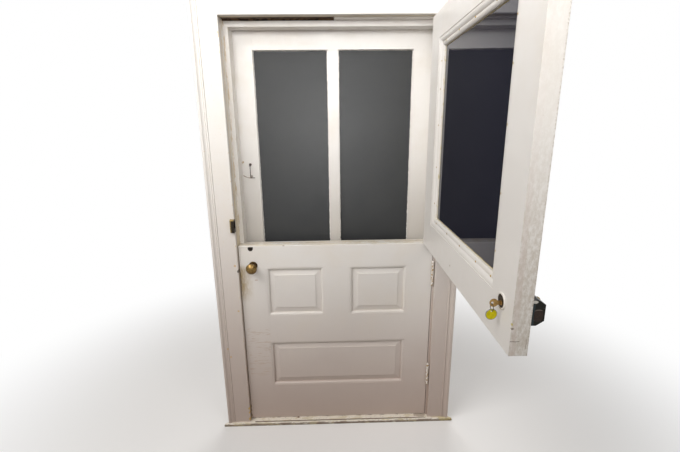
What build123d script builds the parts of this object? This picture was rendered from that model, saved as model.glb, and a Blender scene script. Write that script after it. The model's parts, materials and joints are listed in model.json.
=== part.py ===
from build123d import *
import math
import os

# A stable door in its frame: the lower leaf is shut, the upper leaf stands open into the room, and a
# screen door closes the outer rebate. Sizes are in millimetres. X runs across the opening, Y from the
# room to the outside, Z up. The origin is the middle of the threshold's underside, at the wall's face.

# Threshold and the loose saddle strip on it
threshold_t = 16.0
threshold_nose = 34.0
threshold_nose_r = 5.0
threshold_horn_back = 576.0
threshold_horn_front = 594.0
saddle_t = 4.5
saddle_front = 26.0
saddle_back = 3.0
saddle_left = 440.0
saddle_sag = 3.0
saddle_sag_l = 95.0
saddle_floor_gap = 1.5

# Leaves
leaf_w = 914.4
leaf_t = 44.5
side_gap = 3.0
open_angle = 89.2
face_gap = 0.5

# Lower leaf
lower_stile_w = 122.0
lower_muntin_w = 125.0
lower_bottom_h = 196.0
lower_panel_h = 248.0
lower_middle_h = 146.0
upper_panel_h = 248.0
lower_top_h = 105.0
stick_w = 12.0
stick_d = 9.0
stick_quirk = 1.5
groove_d = 10.0
panel_play = 1.0
panel_edge_t = 14.0
panel_margin = 40.0
panel_bevel_y = 9.0
panel_field_y = 6.0
tenon_l = 60.0
muntin_tenon_l = 30.0
tenon_t = 13.0
tenon_shoulder = 20.0

# Cap strip and drip ledge on top of the lower leaf
cap_t = 6.0
cap_nose_r = 3.0
ledge_depth = 35.0
ledge_t = 22.0
ledge_slope = 4.0
ledge_end_gap = 4.0
old_bolt_r = 12.0
old_bolt_x = 55.2
old_bolt_drop = 8.0
old_bolt_depth = 18.0

# Upper leaf
leaf_gap = 3.5
upper_h = 955.5
head_gap = 10.5
upper_stile_w = 120.0
upper_bottom_h = 118.0
upper_top_h = 100.0
ovolo_w = 20.0
ovolo_d = 10.0
ovolo_quirk = 2.0
glass_t = 4.0
glass_y = 22.0
glass_play = 1.5
bead_w = 14.0
bead_t = 11.0

# Frame
jamb_t = 19.0
jamb_depth = 140.0
housing_d = 6.0
stop_w = 22.0
stop_depth = 65.0
head_stop_h = 29.5
filler_t = 6.5
filler_front = 17.0
filler_left = 4.0
casing_w = 112.0
casing_t = 21.0
casing_reveal_right = 8.0
casing_arris = 2.0
band_w = 34.0
band_t = 30.0
band_bead_w = 8.0
band_bead_h = 3.5
band_flat_w = 10.0
casing_relief_d = 2.0
casing_outer_land = 20.0
casing_inner_land = 32.0

# Hinges
pin_x_offset = 1.5
pin_y_offset = 7.5
barrel_r = 6.35
pin_r = 3.0
pin_fit = 0.08
tip_r = 6.0
hinge_l = 101.6
knuckle_count = 5
knuckle_gap = 0.4
plate_t = 2.5
plate_reach = 32.0
plate_clear = 0.6
screen_plate_gap = 4.0
lower_hinge_z = (268.0, 820.0)
upper_hinge_z = (1125.0, 1780.0)
screen_hinge_z = (420.0, 1480.0)
screw_head_r = 4.0
screw_shank_r = 2.0
screw_l = 15.0
screw_count = 4
screw_edge = 8.0

# Latch and knobs of the lower leaf
knob_backset = 63.2
knob_z = 873.0
knob_r = 25.5
knob_half_l = 17.0
knob_root = 2.5
knob_rim_r = 8.0
knob_inside_stand = 45.0
knob_outside_stand = 35.0
shank_r = 8.0
rosette_r = 20.5
rosette_t = 6.0
turn_clear = 0.3
hang_gap = 0.3
spindle_w = 7.1
spindle_grip = 16.0
latch_case_r = 11.0
latch_case_l = 78.0
latch_plate_h = 57.0
latch_plate_w = 25.0
latch_plate_t = 3.0
latch_bolt_h = 14.0
latch_bolt_t = 12.0
latch_bolt_l = 46.0
latch_throw = 12.0
slide_clear = 0.3
bore_clear = 0.1
strike_plate_t = 1.5
throw_clear = 2.0

# Rim lock of the upper leaf
lock_rise = 109.0
lock_h = 65.0
lock_l = 95.0
lock_t = 32.0
lock_slope_y = 18.0
lock_slope_z = 12.0
lock_end_chamfer = 7.5
lock_setback = 4.0
rim_bolt_h = 30.0
rim_bolt_drop = 6.5
rim_bolt_t = 21.0
rim_bolt_r = 8.0
rim_bolt_l = 42.0
rim_throw = 14.0
rim_bolt_front = 27.5
turn_knob_r = 13.0
turn_knob_l = 15.0
turn_spindle_r = 4.0
turn_spindle_grip = 10.0
turn_x_from_end = 58.0

# Rim strike let into the left casing's edge
rim_strike_w = 17.0
rim_strike_front = 35.0
rim_strike_back = 4.0
rim_strike_h = 62.0
rim_strike_drop = 3.0
rim_strike_r = 5.0
rim_strike_lip = 0.8
rim_mouth_clear = 2.0

# Cylinder, key, ring and tag on the outside of the upper leaf
cylinder_backset = 61.2
cylinder_rise = 4.5
cylinder_r = 17.0
cylinder_ring_r = 21.5
cylinder_ring_t = 3.5
cylinder_sunk = 1.0
cylinder_l = 30.0
plug_r = 6.5
plug_drop = 5.0
plug_l = 24.0
bow_r = 10.5
bow_t = 2.2
bow_off = 19.6
bow_hole_r = 3.2
bow_hole_out = 3.6
bow_hole_flare = 0.9
ring_r = 9.5
ring_wire_r = 0.8
tag_r = 14.0
tag_t = 1.6
tag_hole_r = 2.4
tag_hole_in = 5.6

# Screen door
screen_t = 28.0
screen_stile_w = 102.0
screen_top_w = 104.5
screen_bottom_w = 150.0
screen_mullion_w = 49.0
screen_mullion_x = -2.0
screen_foot_gap = 5.0
mesh_t = 1.2
mesh_groove = 9.0
mesh_play = 0.5
hook_from_edge = 60.2
hook_z = 1333.0
hook_stand = 13.0
hook_wire_r = 1.5
hook_drop = 57.0
hook_tip = 20.0
hook_bend_r = 5.0
hook_loop_r = 3.4
hook_loop_wire_r = 1.0
eye_r = 4.6
eye_wire_r = 1.1
eye_shank_l = 12.0
catch_eye_z = 1347.0

# Places worked out from the sizes above
leaf_half = leaf_w / 2
opening_half = leaf_half + side_gap
mid_y = leaf_t / 2
pin_x = leaf_half + pin_x_offset
pin_y = -pin_y_offset
lower_z0 = threshold_t + saddle_t + saddle_floor_gap
wide_z0 = lower_z0 + lower_bottom_h
wide_z1 = wide_z0 + lower_panel_h
small_z0 = wide_z1 + lower_middle_h
small_z1 = small_z0 + upper_panel_h
lower_z1 = small_z1 + lower_top_h
cap_z1 = lower_z1 + cap_t
upper_z0 = cap_z1 + leaf_gap
upper_z1 = upper_z0 + upper_h
head_z = upper_z1 + head_gap
stop_y0 = leaf_t + face_gap
stop_y1 = stop_y0 + stop_depth
stop_x = opening_half - stop_w
jamb_out = opening_half + jamb_t
frame_top = head_z + jamb_t
casing_out = opening_half + casing_w
casing_top = head_z + casing_w
knob_x = -leaf_half + knob_backset
cylinder_x = -leaf_half + cylinder_backset
lock_z = upper_z0 + lock_rise
rim_bolt_z = lock_z - rim_bolt_drop
rim_strike_z = rim_bolt_z - rim_strike_drop
rim_mouth_d = rim_throw + throw_clear
strike_pocket_d = latch_throw + throw_clear
cylinder_z = lock_z + cylinder_rise
lock_x0 = -leaf_half + lock_setback
lock_x1 = lock_x0 + lock_l
rim_bolt_y = -rim_bolt_front + rim_bolt_t / 2
turn_x = lock_x0 + turn_x_from_end
screen_y1 = stop_y1 + screen_t
screen_pin_y = jamb_depth + pin_y_offset
screen_z0 = threshold_t + screen_foot_gap
screen_z1 = head_z - side_gap
sight_x = leaf_half - lower_stile_w
window_x = leaf_half - upper_stile_w
window_z0 = upper_z0 + upper_bottom_h
window_z1 = upper_z1 - upper_top_h
plug_z = cylinder_z - plug_drop
bow_y = leaf_t + bow_off
bow_hole_y = bow_y + bow_hole_out
ring_top_z = plug_z - (bow_hole_r - ring_wire_r - hang_gap)
hook_x = -leaf_half + hook_from_edge
hook_y = stop_y1 - hook_stand


def board(x0, x1, y0, y1, z0, z1):
    """A straight piece between two opposite corners."""
    size = Box(x1 - x0, y1 - y0, z1 - z0)
    return Pos((x0 + x1) / 2, (y0 + y1) / 2, (z0 + z1) / 2) * size


def slab(points, y0, y1):
    """An outline drawn in X and Z, as thick as the space from y0 to y1."""
    face = make_face(Polyline(*points, close=True).edges())
    return extrude(Plane.XZ.offset(-y0) * face, amount=y0 - y1)


def rod(start, end, radius):
    """A round bar between two points."""
    line = Edge.make_line(start, end)
    plane = Plane(origin=start, z_dir=line % 0)
    return extrude(plane * Circle(radius), amount=line.length)


def across(shape, x, y, z):
    """Turn a piece drawn round Z so that it points outwards along Y, and put it in place."""
    return Pos(x, y, z) * Rot(-90, 0, 0) * shape


def group(pieces):
    """Separate solids kept in one node."""
    solids = []
    for piece in pieces:
        solids.extend(piece.solids())
    return Compound(solids)


def swung_open(shape):
    """The upper leaf's pieces are drawn shut and turned about the hinge pins."""
    return Pos(pin_x, pin_y, 0) * Rot(0, 0, open_angle) * Pos(-pin_x, -pin_y, 0) * shape


def shrink(opening, inset):
    """The same rectangle, smaller by the inset on every side."""
    x0, x1, z0, z1 = opening
    return (x0 + inset, x1 - inset, z0 + inset, z1 - inset)


def mitred_strip(opening, side, width, y0, y1):
    """One side of a moulded border just inside an opening, cut at 45 degrees at both ends."""
    x0, x1, z0, z1 = opening
    a0, a1, c0, c1 = shrink(opening, width)
    outlines = {
        "left": [(x0, z0), (a0, c0), (a0, c1), (x0, z1)],
        "right": [(x1, z0), (a1, c0), (a1, c1), (x1, z1)],
        "bottom": [(x0, z0), (a0, c0), (a1, c0), (x1, z0)],
        "top": [(x0, z1), (a0, c1), (a1, c1), (x1, z1)],
    }
    return slab(outlines[side], y0, y1)


def border_sweep(opening, section, y_face, into):
    """Sweep a section round an opening. Its first value points away from the middle of the opening,
    its second goes into the wood: into is 1 on the room side and -1 on the outside."""
    x0, x1, z0, z1 = opening
    mid = (x0 + x1) / 2
    corners = [(x1, z0), (x1, z1), (x0, z1), (x0, z0)]
    if into < 0:
        corners.reverse()
    path = Wire.make_polygon([Vector(x, y_face, z) for x, z in [(mid, z0)] + corners], close=True)
    plane = Plane(origin=(mid, y_face, z0), x_dir=(0, 0, -1), z_dir=(into, 0, 0))
    return sweep(plane * section, path=path, transition=Transition.RIGHT)


def ovolo_section(width, depth, quirk):
    """What a moulding plane takes off an edge: a small step, then a convex quarter round."""
    corner_x = width * (1 - math.cos(math.radians(45)))
    corner_y = depth - (depth - quirk) * math.sin(math.radians(45))
    round_part = ThreePointArc((width, quirk), (corner_x, corner_y), (0, depth))
    straight = Polyline((0, depth), (-1, depth), (-1, -1), (width, -1), (width, quirk))
    return make_face((straight + round_part).edges())


def rectangle_at(opening, y):
    """A flat rectangle facing the room, at a depth."""
    x0, x1, z0, z1 = opening
    flat = Pos((x0 + x1) / 2, (z0 + z1) / 2) * Rectangle(x1 - x0, z1 - z0)
    return Plane.XZ.offset(-y) * flat


def tenon(x0, x1, z0, z1):
    """A flat tongue in the middle of the wood's thickness."""
    return board(x0, x1, mid_y - tenon_t / 2, mid_y + tenon_t / 2, z0, z1)


def rail_tenons(shoulder_x, z0, z1):
    """The tongues at both ends of a rail."""
    z0 += tenon_shoulder
    z1 -= tenon_shoulder
    reach = shoulder_x + tenon_l
    return tenon(-reach, -shoulder_x, z0, z1) + tenon(shoulder_x, reach, z0, z1)


def lower_openings():
    """The three panel openings of the lower leaf, at the outer line of their mouldings."""
    half = lower_muntin_w / 2
    return {
        "wide": (-sight_x, sight_x, wide_z0, wide_z1),
        "left": (-sight_x, -half, small_z0, small_z1),
        "right": (half, sight_x, small_z0, small_z1),
    }


def lower_cutters():
    """Mouldings on both faces, and the groove that holds each panel's edge."""
    cutters = []
    section = ovolo_section(stick_w, stick_d, stick_quirk)
    for opening in lower_openings().values():
        wood_edge = shrink(opening, stick_w)
        cutters.append(border_sweep(wood_edge, section, 0, 1))
        cutters.append(border_sweep(wood_edge, section, leaf_t, -1))
        x0, x1, z0, z1 = shrink(wood_edge, -groove_d)
        y0 = mid_y - panel_edge_t / 2
        cutters.append(board(x0, x1, y0, y0 + panel_edge_t, z0, z1))
    return cutters


def raised_panel(opening):
    """A panel loose in its grooves, with a bevelled margin and a raised field on both faces."""
    wood_edge = shrink(opening, stick_w)
    x0, x1, z0, z1 = shrink(wood_edge, panel_play - groove_d)
    y0 = mid_y - panel_edge_t / 2
    y1 = mid_y + panel_edge_t / 2
    panel = board(x0, x1, y0, y1, z0, z1)
    field = shrink(opening, panel_margin)
    fx0, fx1, fz0, fz1 = field
    for edge_y, bevel_y, field_y in (
        (y0, panel_bevel_y, panel_field_y),
        (y1, leaf_t - panel_bevel_y, leaf_t - panel_field_y),
    ):
        panel += loft([rectangle_at(wood_edge, edge_y), rectangle_at(field, bevel_y)], ruled=True)
        panel += board(fx0, fx1, min(bevel_y, field_y), max(bevel_y, field_y), fz0, fz1)
    return panel


def old_bolt_hole():
    """The round hole of a lost bolt, open at the top edge and closed by the cap strip."""
    x = -leaf_half + old_bolt_x
    z = lower_z1 - old_bolt_drop
    hole = across(Cylinder(old_bolt_r, old_bolt_depth), x, old_bolt_depth / 2, z)
    return hole + board(x - old_bolt_r, x + old_bolt_r, 0, old_bolt_depth, z, lower_z1 + 1)


def latch_room():
    """The space that the latch takes up in the lock stile."""
    x0 = -leaf_half
    plate = board(x0, x0 + latch_plate_t, mid_y - latch_plate_w / 2, mid_y + latch_plate_w / 2,
                  knob_z - latch_plate_h / 2, knob_z + latch_plate_h / 2)
    tube_end = x0 + latch_case_l + bore_clear
    tube = rod((x0, mid_y, knob_z), (tube_end, mid_y, knob_z), latch_case_r + bore_clear)
    cross = rod((knob_x, -1, knob_z), (knob_x, leaf_t + 1, knob_z), shank_r + 2)
    return plate + tube + cross


def lower_leaf():
    """Stiles, rails and muntin with mitred mouldings, tenoned into each other, and the panels."""
    openings = lower_openings()
    cutters = lower_cutters()
    z0 = lower_z0
    z1 = lower_z1
    half = lower_muntin_w / 2

    def border(name, side):
        return mitred_strip(openings[name], side, stick_w, 0, leaf_t)

    muntin_x = half - tenon_shoulder
    tenons = {
        "lower_bottom_rail": rail_tenons(sight_x, z0, wide_z0),
        "lower_middle_rail": rail_tenons(sight_x, wide_z1, small_z0),
        "lower_top_rail": rail_tenons(sight_x, small_z1, z1),
        "lower_muntin": tenon(-muntin_x, muntin_x, small_z0 - muntin_tenon_l, small_z1 + muntin_tenon_l),
    }
    left = board(-leaf_half, -sight_x, 0, leaf_t, z0, z1) + border("wide", "left") + border("left", "left")
    right = board(sight_x, leaf_half, 0, leaf_t, z0, z1) + border("wide", "right")
    right += border("right", "right")
    bottom = board(-sight_x, sight_x, 0, leaf_t, z0, wide_z0) + border("wide", "bottom")
    middle = board(-sight_x, sight_x, 0, leaf_t, wide_z1, small_z0) + border("wide", "top")
    middle += border("left", "bottom") + border("right", "bottom")
    top = board(-sight_x, sight_x, 0, leaf_t, small_z1, z1) + border("left", "top")
    top += border("right", "top")
    muntin = board(-half, half, 0, leaf_t, small_z0, small_z1) + border("left", "right")
    muntin += border("right", "left")
    muntin_tenon = tenons["lower_muntin"]
    pieces = {
        "lower_lock_stile": left,
        "lower_hinge_stile": right,
        "lower_bottom_rail": bottom,
        "lower_middle_rail": middle - muntin_tenon,
        "lower_top_rail": top - muntin_tenon,
        "lower_muntin": muntin,
    }
    for name in ("lower_lock_stile", "lower_hinge_stile"):
        for rail in ("lower_bottom_rail", "lower_middle_rail", "lower_top_rail"):
            pieces[name] -= tenons[rail]
    for name, shape in pieces.items():
        for cutter in cutters:
            shape -= cutter
        if name in tenons:
            shape += tenons[name]
        pieces[name] = shape
    pieces["lower_lock_stile"] -= latch_room() + old_bolt_hole()
    pieces["lower_top_rail"] -= latch_room()
    for z in lower_hinge_z:
        pieces["lower_hinge_stile"] -= plate_space("leaf", leaf_hinge(z))
    pieces["left_panel"] = raised_panel(openings["left"])
    pieces["right_panel"] = raised_panel(openings["right"])
    pieces["wide_panel"] = raised_panel(openings["wide"])
    pieces["cap_strip"] = cap_strip()
    pieces["drip_ledge"] = drip_ledge()
    return pieces


def cap_strip():
    """The strip on the leaf's top edge, with a rounded front arris."""
    strip = board(-leaf_half, leaf_half, 0, leaf_t, lower_z1, cap_z1)
    front = strip.edges().filter_by(Axis.X).group_by(Axis.Z)[-1].sort_by(Axis.Y)[0]
    return fillet(front, min(cap_nose_r, cap_t * 0.9))


def drip_ledge():
    """The ledge behind the top rail that throws rain clear, sloping outwards."""
    half = stop_x - ledge_end_gap
    y0 = leaf_t
    y1 = leaf_t + ledge_depth
    outline = [
        (y0, cap_z1),
        (y1, cap_z1 - ledge_slope),
        (y1, cap_z1 - ledge_t),
        (y1 - ledge_slope, cap_z1 - ledge_t),
        (y0, cap_z1 - ledge_t - ledge_slope),
    ]
    face = make_face(Polyline(*outline, close=True).edges())
    return extrude(Plane.YZ.offset(-half) * face, amount=2 * half)


def latch_pieces():
    """Tube, bolt, spindle, knobs and rosettes of the lower leaf's latch, the bolt drawn back."""
    x0 = -leaf_half
    plate_x = x0 + latch_plate_t
    case_end = x0 + latch_case_l
    case = board(x0, plate_x, mid_y - latch_plate_w / 2, mid_y + latch_plate_w / 2,
                 knob_z - latch_plate_h / 2, knob_z + latch_plate_h / 2)
    case += rod((plate_x, mid_y, knob_z), (case_end, mid_y, knob_z), latch_case_r)
    half_t = latch_bolt_t / 2 + slide_clear
    half_h = latch_bolt_h / 2 + slide_clear
    channel_end = x0 + latch_bolt_l + slide_clear
    case -= board(x0 - 1, channel_end, mid_y - half_t, mid_y + half_t, knob_z - half_h, knob_z + half_h)
    hub_r = spindle_w * math.sqrt(0.5) + turn_clear
    case -= rod((knob_x, 0, knob_z), (knob_x, leaf_t, knob_z), hub_r)
    bolt = board(x0, x0 + latch_bolt_l, mid_y - latch_bolt_t / 2, mid_y + latch_bolt_t / 2,
                 knob_z - latch_bolt_h / 2, knob_z + latch_bolt_h / 2)
    nose = bolt.edges().filter_by(Axis.Z).group_by(Axis.X)[0].sort_by(Axis.Y)[-1]
    bolt = chamfer(nose, latch_bolt_t * 0.7)
    spindle_y0 = -knob_inside_stand + spindle_grip * 0.5
    spindle_y1 = leaf_t + knob_outside_stand - spindle_grip * 0.5
    half = spindle_w / 2
    spindle = board(knob_x - half, knob_x + half, spindle_y0, spindle_y1, knob_z - half, knob_z + half)
    return {
        "latch_case": case,
        "latch_bolt": bolt,
        "knob_spindle": spindle,
        "inside_knob": knob(knob_inside_stand, 0, -1) - spindle,
        "outside_knob": knob(knob_outside_stand, leaf_t, 1) - spindle,
        "knob_rosettes": group([rosette(0, -1), rosette(leaf_t, 1)]),
    }


def turned(outline_edges, y_face, outwards, x, z):
    """Revolve a half outline drawn as radius and height, and stand it on a face of the leaf."""
    body = revolve(make_face(outline_edges), axis=Axis.Y)
    turn = Rot(0, 0, 0) if outwards > 0 else Rot(180, 0, 0)
    return Pos(x, y_face, z) * turn * body


def knob(stand, y_face, outwards):
    """A turned knob: shank, cone, round rim and a shallow dome."""
    end = stand + knob_half_l
    tilt = math.radians(60)
    rim_x = knob_r - knob_rim_r * (1 - math.cos(tilt))
    rim_h = knob_rim_r * math.sin(tilt)
    dome_h = knob_half_l - rim_h
    dome_r = (rim_x ** 2 + dome_h ** 2) / (2 * dome_h)
    half_turn = math.asin(rim_x / dome_r) / 2
    dome_mid = (dome_r * math.sin(half_turn), end - dome_r * (1 - math.cos(half_turn)))
    rim = ThreePointArc((rim_x, stand - rim_h), (knob_r, stand), (rim_x, stand + rim_h))
    dome = ThreePointArc((rim_x, stand + rim_h), dome_mid, (0, end))
    shank = Polyline((0, end), (0, knob_root), (shank_r, knob_root), (shank_r, stand - knob_half_l),
                     (rim_x, stand - rim_h))
    return turned((rim + dome + shank).edges(), y_face, outwards, knob_x, knob_z)


def rosette(y_face, outwards):
    """The round plate behind a knob, with a soft edge."""
    hole = shank_r + turn_clear
    edge = ThreePointArc((rosette_r, rosette_t * 0.3), (rosette_r - 2.2, rosette_t * 0.75),
                         (rosette_r - 6, rosette_t))
    rest = Polyline((rosette_r - 6, rosette_t), (hole, rosette_t), (hole, 0), (rosette_r, 0),
                    (rosette_r, rosette_t * 0.3))
    return turned((edge + rest).edges(), y_face, outwards, knob_x, knob_z)


def window_opening():
    """The glazed opening of the upper leaf, at the outer line of its moulding."""
    return (-window_x, window_x, window_z0, window_z1)


def upper_leaf():
    """Stiles and rails round one pane, with an ovolo and a bead on the outside."""
    opening = window_opening()
    border_w = ovolo_w + bead_w
    rebate = shrink(opening, ovolo_w)
    rx0, rx1, rz0, rz1 = rebate
    outside = border_sweep(rebate, ovolo_section(ovolo_w, ovolo_d, ovolo_quirk), leaf_t, -1)
    room_edge = shrink(opening, border_w)
    room_section = ovolo_section(border_w * 0.6, ovolo_d, ovolo_quirk)
    room_side = border_sweep(room_edge, room_section, 0, 1)
    glass_room = board(rx0, rx1, glass_y, leaf_t + 1, rz0, rz1)
    z0 = upper_z0
    z1 = upper_z1
    tenons = {
        "upper_bottom_rail": rail_tenons(window_x, z0, window_z0),
        "upper_top_rail": rail_tenons(window_x, window_z1, z1),
    }

    def border(side):
        return mitred_strip(opening, side, border_w, 0, leaf_t)

    pieces = {
        "upper_lock_stile": board(-leaf_half, -window_x, 0, leaf_t, z0, z1) + border("left"),
        "upper_hinge_stile": board(window_x, leaf_half, 0, leaf_t, z0, z1) + border("right"),
        "upper_bottom_rail": board(-window_x, window_x, 0, leaf_t, z0, window_z0) + border("bottom"),
        "upper_top_rail": board(-window_x, window_x, 0, leaf_t, window_z1, z1) + border("top"),
    }
    for name, shape in pieces.items():
        shape = shape - outside - room_side - glass_room
        if name in tenons:
            shape += tenons[name]
        else:
            shape -= tenons["upper_bottom_rail"] + tenons["upper_top_rail"]
        pieces[name] = shape
    lock_hole = rod((cylinder_x, 0, cylinder_z), (cylinder_x, leaf_t, cylinder_z), cylinder_r)
    pieces["upper_lock_stile"] -= lock_hole
    pieces["upper_bottom_rail"] -= lock_hole
    for z in upper_hinge_z:
        pieces["upper_hinge_stile"] -= plate_space("leaf", leaf_hinge(z))
    gx0, gx1, gz0, gz1 = shrink(rebate, glass_play)
    pieces["window_glass"] = board(gx0, gx1, glass_y, glass_y + glass_t, gz0, gz1)
    pieces["glazing_beads"] = glazing_beads(rebate)
    return pieces


def glazing_beads(rebate):
    """Four mitred beads with a rounded face that hold the pane in its rebate."""
    y0 = glass_y + glass_t
    y1 = y0 + bead_t
    flat = bead_t * 0.5
    crown = ThreePointArc((-bead_w, flat), (-bead_w * 0.55, bead_t * 0.95), (0, bead_t))
    rest = Polyline((0, bead_t), (0, 0), (-bead_w, 0), (-bead_w, flat))
    section = make_face((crown + rest).edges())
    border = border_sweep(rebate, section, y0, 1)
    sides = ("left", "right", "bottom", "top")
    return group([border & mitred_strip(rebate, side, bead_w, y0, y1) for side in sides])


def rim_lock():
    """Case, bolt and thumb turn on the room face, the bolt drawn back."""
    z0 = lock_z - lock_h / 2
    z1 = lock_z + lock_h / 2
    front = -lock_t
    side = front + lock_slope_y
    outline = [(0, z0), (side, z0), (front, z0 + lock_slope_z), (front, z1 - lock_slope_z), (side, z1), (0, z1)]
    profile = make_face(Polyline(*outline, close=True).edges())
    case = extrude(Plane.YZ.offset(lock_x0) * profile, amount=lock_l)
    inner_end = case.faces().sort_by(Axis.X)[-1]
    arris = inner_end.edges().sort_by(Axis.Y)[0]
    case = chamfer(arris, lock_end_chamfer)
    bolt_face = Pos(rim_bolt_y, rim_bolt_z) * RectangleRounded(rim_bolt_t, rim_bolt_h, rim_bolt_r)
    bolt = extrude(Plane.YZ.offset(lock_x0) * bolt_face, amount=rim_bolt_l)
    room_t = rim_bolt_t + 2 * slide_clear
    room_h = rim_bolt_h + 2 * slide_clear
    room = Pos(rim_bolt_y, rim_bolt_z) * RectangleRounded(room_t, room_h, rim_bolt_r + slide_clear)
    case -= extrude(Plane.YZ.offset(lock_x0 - 1) * room, amount=rim_bolt_l + 1 + slide_clear)
    grip = -lock_t + turn_spindle_grip
    hole_r = turn_spindle_r + turn_clear
    case -= rod((turn_x, -lock_t - 1, lock_z), (turn_x, grip + turn_clear, lock_z), hole_r)
    knob_end = -lock_t - turn_clear - turn_knob_l
    turn = rod((turn_x, -lock_t - turn_clear, lock_z), (turn_x, knob_end, lock_z), turn_knob_r)
    turn = fillet(turn.edges().group_by(Axis.Y)[0], turn_knob_r * 0.3)
    turn += rod((turn_x, -lock_t - turn_clear, lock_z), (turn_x, grip, lock_z), turn_spindle_r)
    return {"rim_lock_case": case, "rim_bolt": bolt, "thumb_turn": turn}


def cylinder_pieces():
    """Cylinder and painted ring on the outside, with the key in it, a split ring and a round tag."""
    x = cylinder_x
    face = leaf_t
    rim = face + cylinder_ring_t
    plug_end = rim - cylinder_sunk
    room_end = plug_end - plug_l - turn_clear
    barrel = rod((x, face - cylinder_l, cylinder_z), (x, plug_end, cylinder_z), cylinder_r)
    plug_room = rod((x, plug_end + 1, plug_z), (x, room_end, plug_z), plug_r + turn_clear)
    ring = rod((x, face, cylinder_z), (x, rim, cylinder_z), cylinder_ring_r)
    ring = chamfer(ring.edges().group_by(Axis.Y)[-1], cylinder_ring_t * 0.4)
    ring -= rod((x, face - 1, cylinder_z), (x, rim + 1, cylinder_z), cylinder_r + bore_clear)
    plug = rod((x, plug_end, plug_z), (x, plug_end - plug_l, plug_z), plug_r)
    bow_plane = Plane(origin=(x - bow_t / 2, bow_y, plug_z), x_dir=(0, 1, 0), z_dir=(1, 0, 0))
    neck_l = bow_y - plug_end
    outline = Circle(bow_r) + Pos(-neck_l / 2, 0) * Rectangle(neck_l, bow_r)
    outline -= Pos(bow_hole_out, 0) * Circle(bow_hole_r)
    bow = extrude(bow_plane * outline, amount=bow_t)
    round_edges = bow.edges().filter_by(GeomType.CIRCLE)
    hole_edges = round_edges.filter_by(lambda edge: edge.radius < bow_hole_r + 0.01)
    key = plug + chamfer(hole_edges, bow_hole_flare)
    pieces = {
        "lock_cylinder": barrel - plug_room,
        "cylinder_ring": ring,
        "door_key": key,
    }
    pieces.update(tag_pieces())
    return pieces


def tag_pieces():
    """The split ring through the bow's hole, and the round tag that hangs from it."""
    x = cylinder_x
    ring_plane = Plane(origin=(x, bow_hole_y, ring_top_z - ring_r), x_dir=(1, 0, 0), z_dir=(0, 1, 0))
    ring = ring_plane * Torus(ring_r, ring_wire_r)
    hole_z = ring_top_z - 2 * ring_r - (tag_hole_r - ring_wire_r - hang_gap)
    tag_z = hole_z - tag_r + tag_hole_in
    tag = rod((x - tag_t / 2, bow_hole_y, tag_z), (x + tag_t / 2, bow_hole_y, tag_z), tag_r)
    tag -= rod((x - tag_t, bow_hole_y, hole_z), (x + tag_t, bow_hole_y, hole_z), tag_hole_r)
    return {"key_ring": ring, "key_tag": tag}


def knuckles(x, y, z, first):
    """Every second knuckle of a hinge barrel, bored for its pin."""
    step = hinge_l / knuckle_count
    parts = []
    for index in range(first, knuckle_count, 2):
        z0 = z - hinge_l / 2 + index * step + knuckle_gap / 2
        z1 = z0 + step - knuckle_gap
        tube = rod((x, y, z0), (x, y, z1), barrel_r) - rod((x, y, z0), (x, y, z1), pin_r + pin_fit)
        parts.append((tube, z0, z1))
    return parts


def leaf_hinge(z):
    """Height, pin line, direction and plate reach of a hinge of the two leaves."""
    return (z, pin_y, 1, pin_y_offset + plate_reach)


def screen_hinge(z):
    """The same values for a hinge of the screen door, which opens outwards."""
    return (z, screen_pin_y, -1, screen_pin_y - stop_y1 - screen_plate_gap)


def plate_space(part, place):
    """The flat of a hinge half, let into the wood beside the gap."""
    z, y_pin, outwards, reach = place
    x0 = leaf_half - plate_t if part == "leaf" else opening_half
    y0 = y_pin + outwards * (barrel_r + plate_clear)
    y1 = y_pin + outwards * reach
    return board(x0, x0 + plate_t, min(y0, y1), max(y0, y1), z - hinge_l / 2, z + hinge_l / 2)


def hinge_half(part, place):
    """One half of a butt hinge: plate, tongues and its own knuckles."""
    z, y_pin, outwards, reach = place
    half = plate_space(part, place)
    bounds = half.bounding_box()
    near = y_pin + outwards * barrel_r * 0.65
    far = y_pin + outwards * (barrel_r + plate_clear + 1)
    first = 1 if part == "leaf" else 0
    for tube, z0, z1 in knuckles(pin_x, y_pin, z, first):
        tongue = board(bounds.min.X, bounds.max.X, min(near, far), max(near, far), z0, z1)
        half += tube + tongue
    return half


def hinge_pin(z, y_pin):
    """A pin with a ball tip at each end."""
    reach = hinge_l / 2 + tip_r
    pin = rod((pin_x, y_pin, z - reach), (pin_x, y_pin, z + reach), pin_r)
    for sign in (-1, 1):
        pin += Pos(pin_x, y_pin, z + sign * reach) * Sphere(tip_r)
    return pin


def frame_hinge_places():
    """All six hinges of the frame."""
    places = [leaf_hinge(z) for z in lower_hinge_z + upper_hinge_z]
    return places + [screen_hinge(z) for z in screen_hinge_z]


def hinge_screws(place):
    """Countersunk screws through a frame plate into the jamb."""
    z, y_pin, outwards, reach = place
    near = y_pin + outwards * (barrel_r + plate_clear + screw_edge)
    far = y_pin + outwards * (reach - screw_edge)
    screws = []
    for row in range(screw_count):
        y = near if row % 2 else far
        level = z - hinge_l / 2 + hinge_l * (row + 0.5) / screw_count
        head = Cone(screw_head_r, screw_shank_r, plate_t)
        shank = Pos(0, 0, screw_l / 2) * Cylinder(screw_shank_r, screw_l - plate_t)
        screws.append(Pos(opening_half + plate_t / 2, y, level) * Rot(0, 90, 0) * (head + shank))
    return screws


def frame_hinges():
    """Frame halves, pins and screws of all hinges."""
    halves = []
    pins = []
    screws = []
    for place in frame_hinge_places():
        own_screws = group(hinge_screws(place))
        halves.append(hinge_half("frame", place) - own_screws)
        pins.append(hinge_pin(place[0], place[1]))
        screws.append(own_screws)
    return {
        "frame_hinge_leaves": group(halves),
        "hinge_pins": group(pins),
        "frame_hinge_screws": group(screws),
    }


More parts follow.
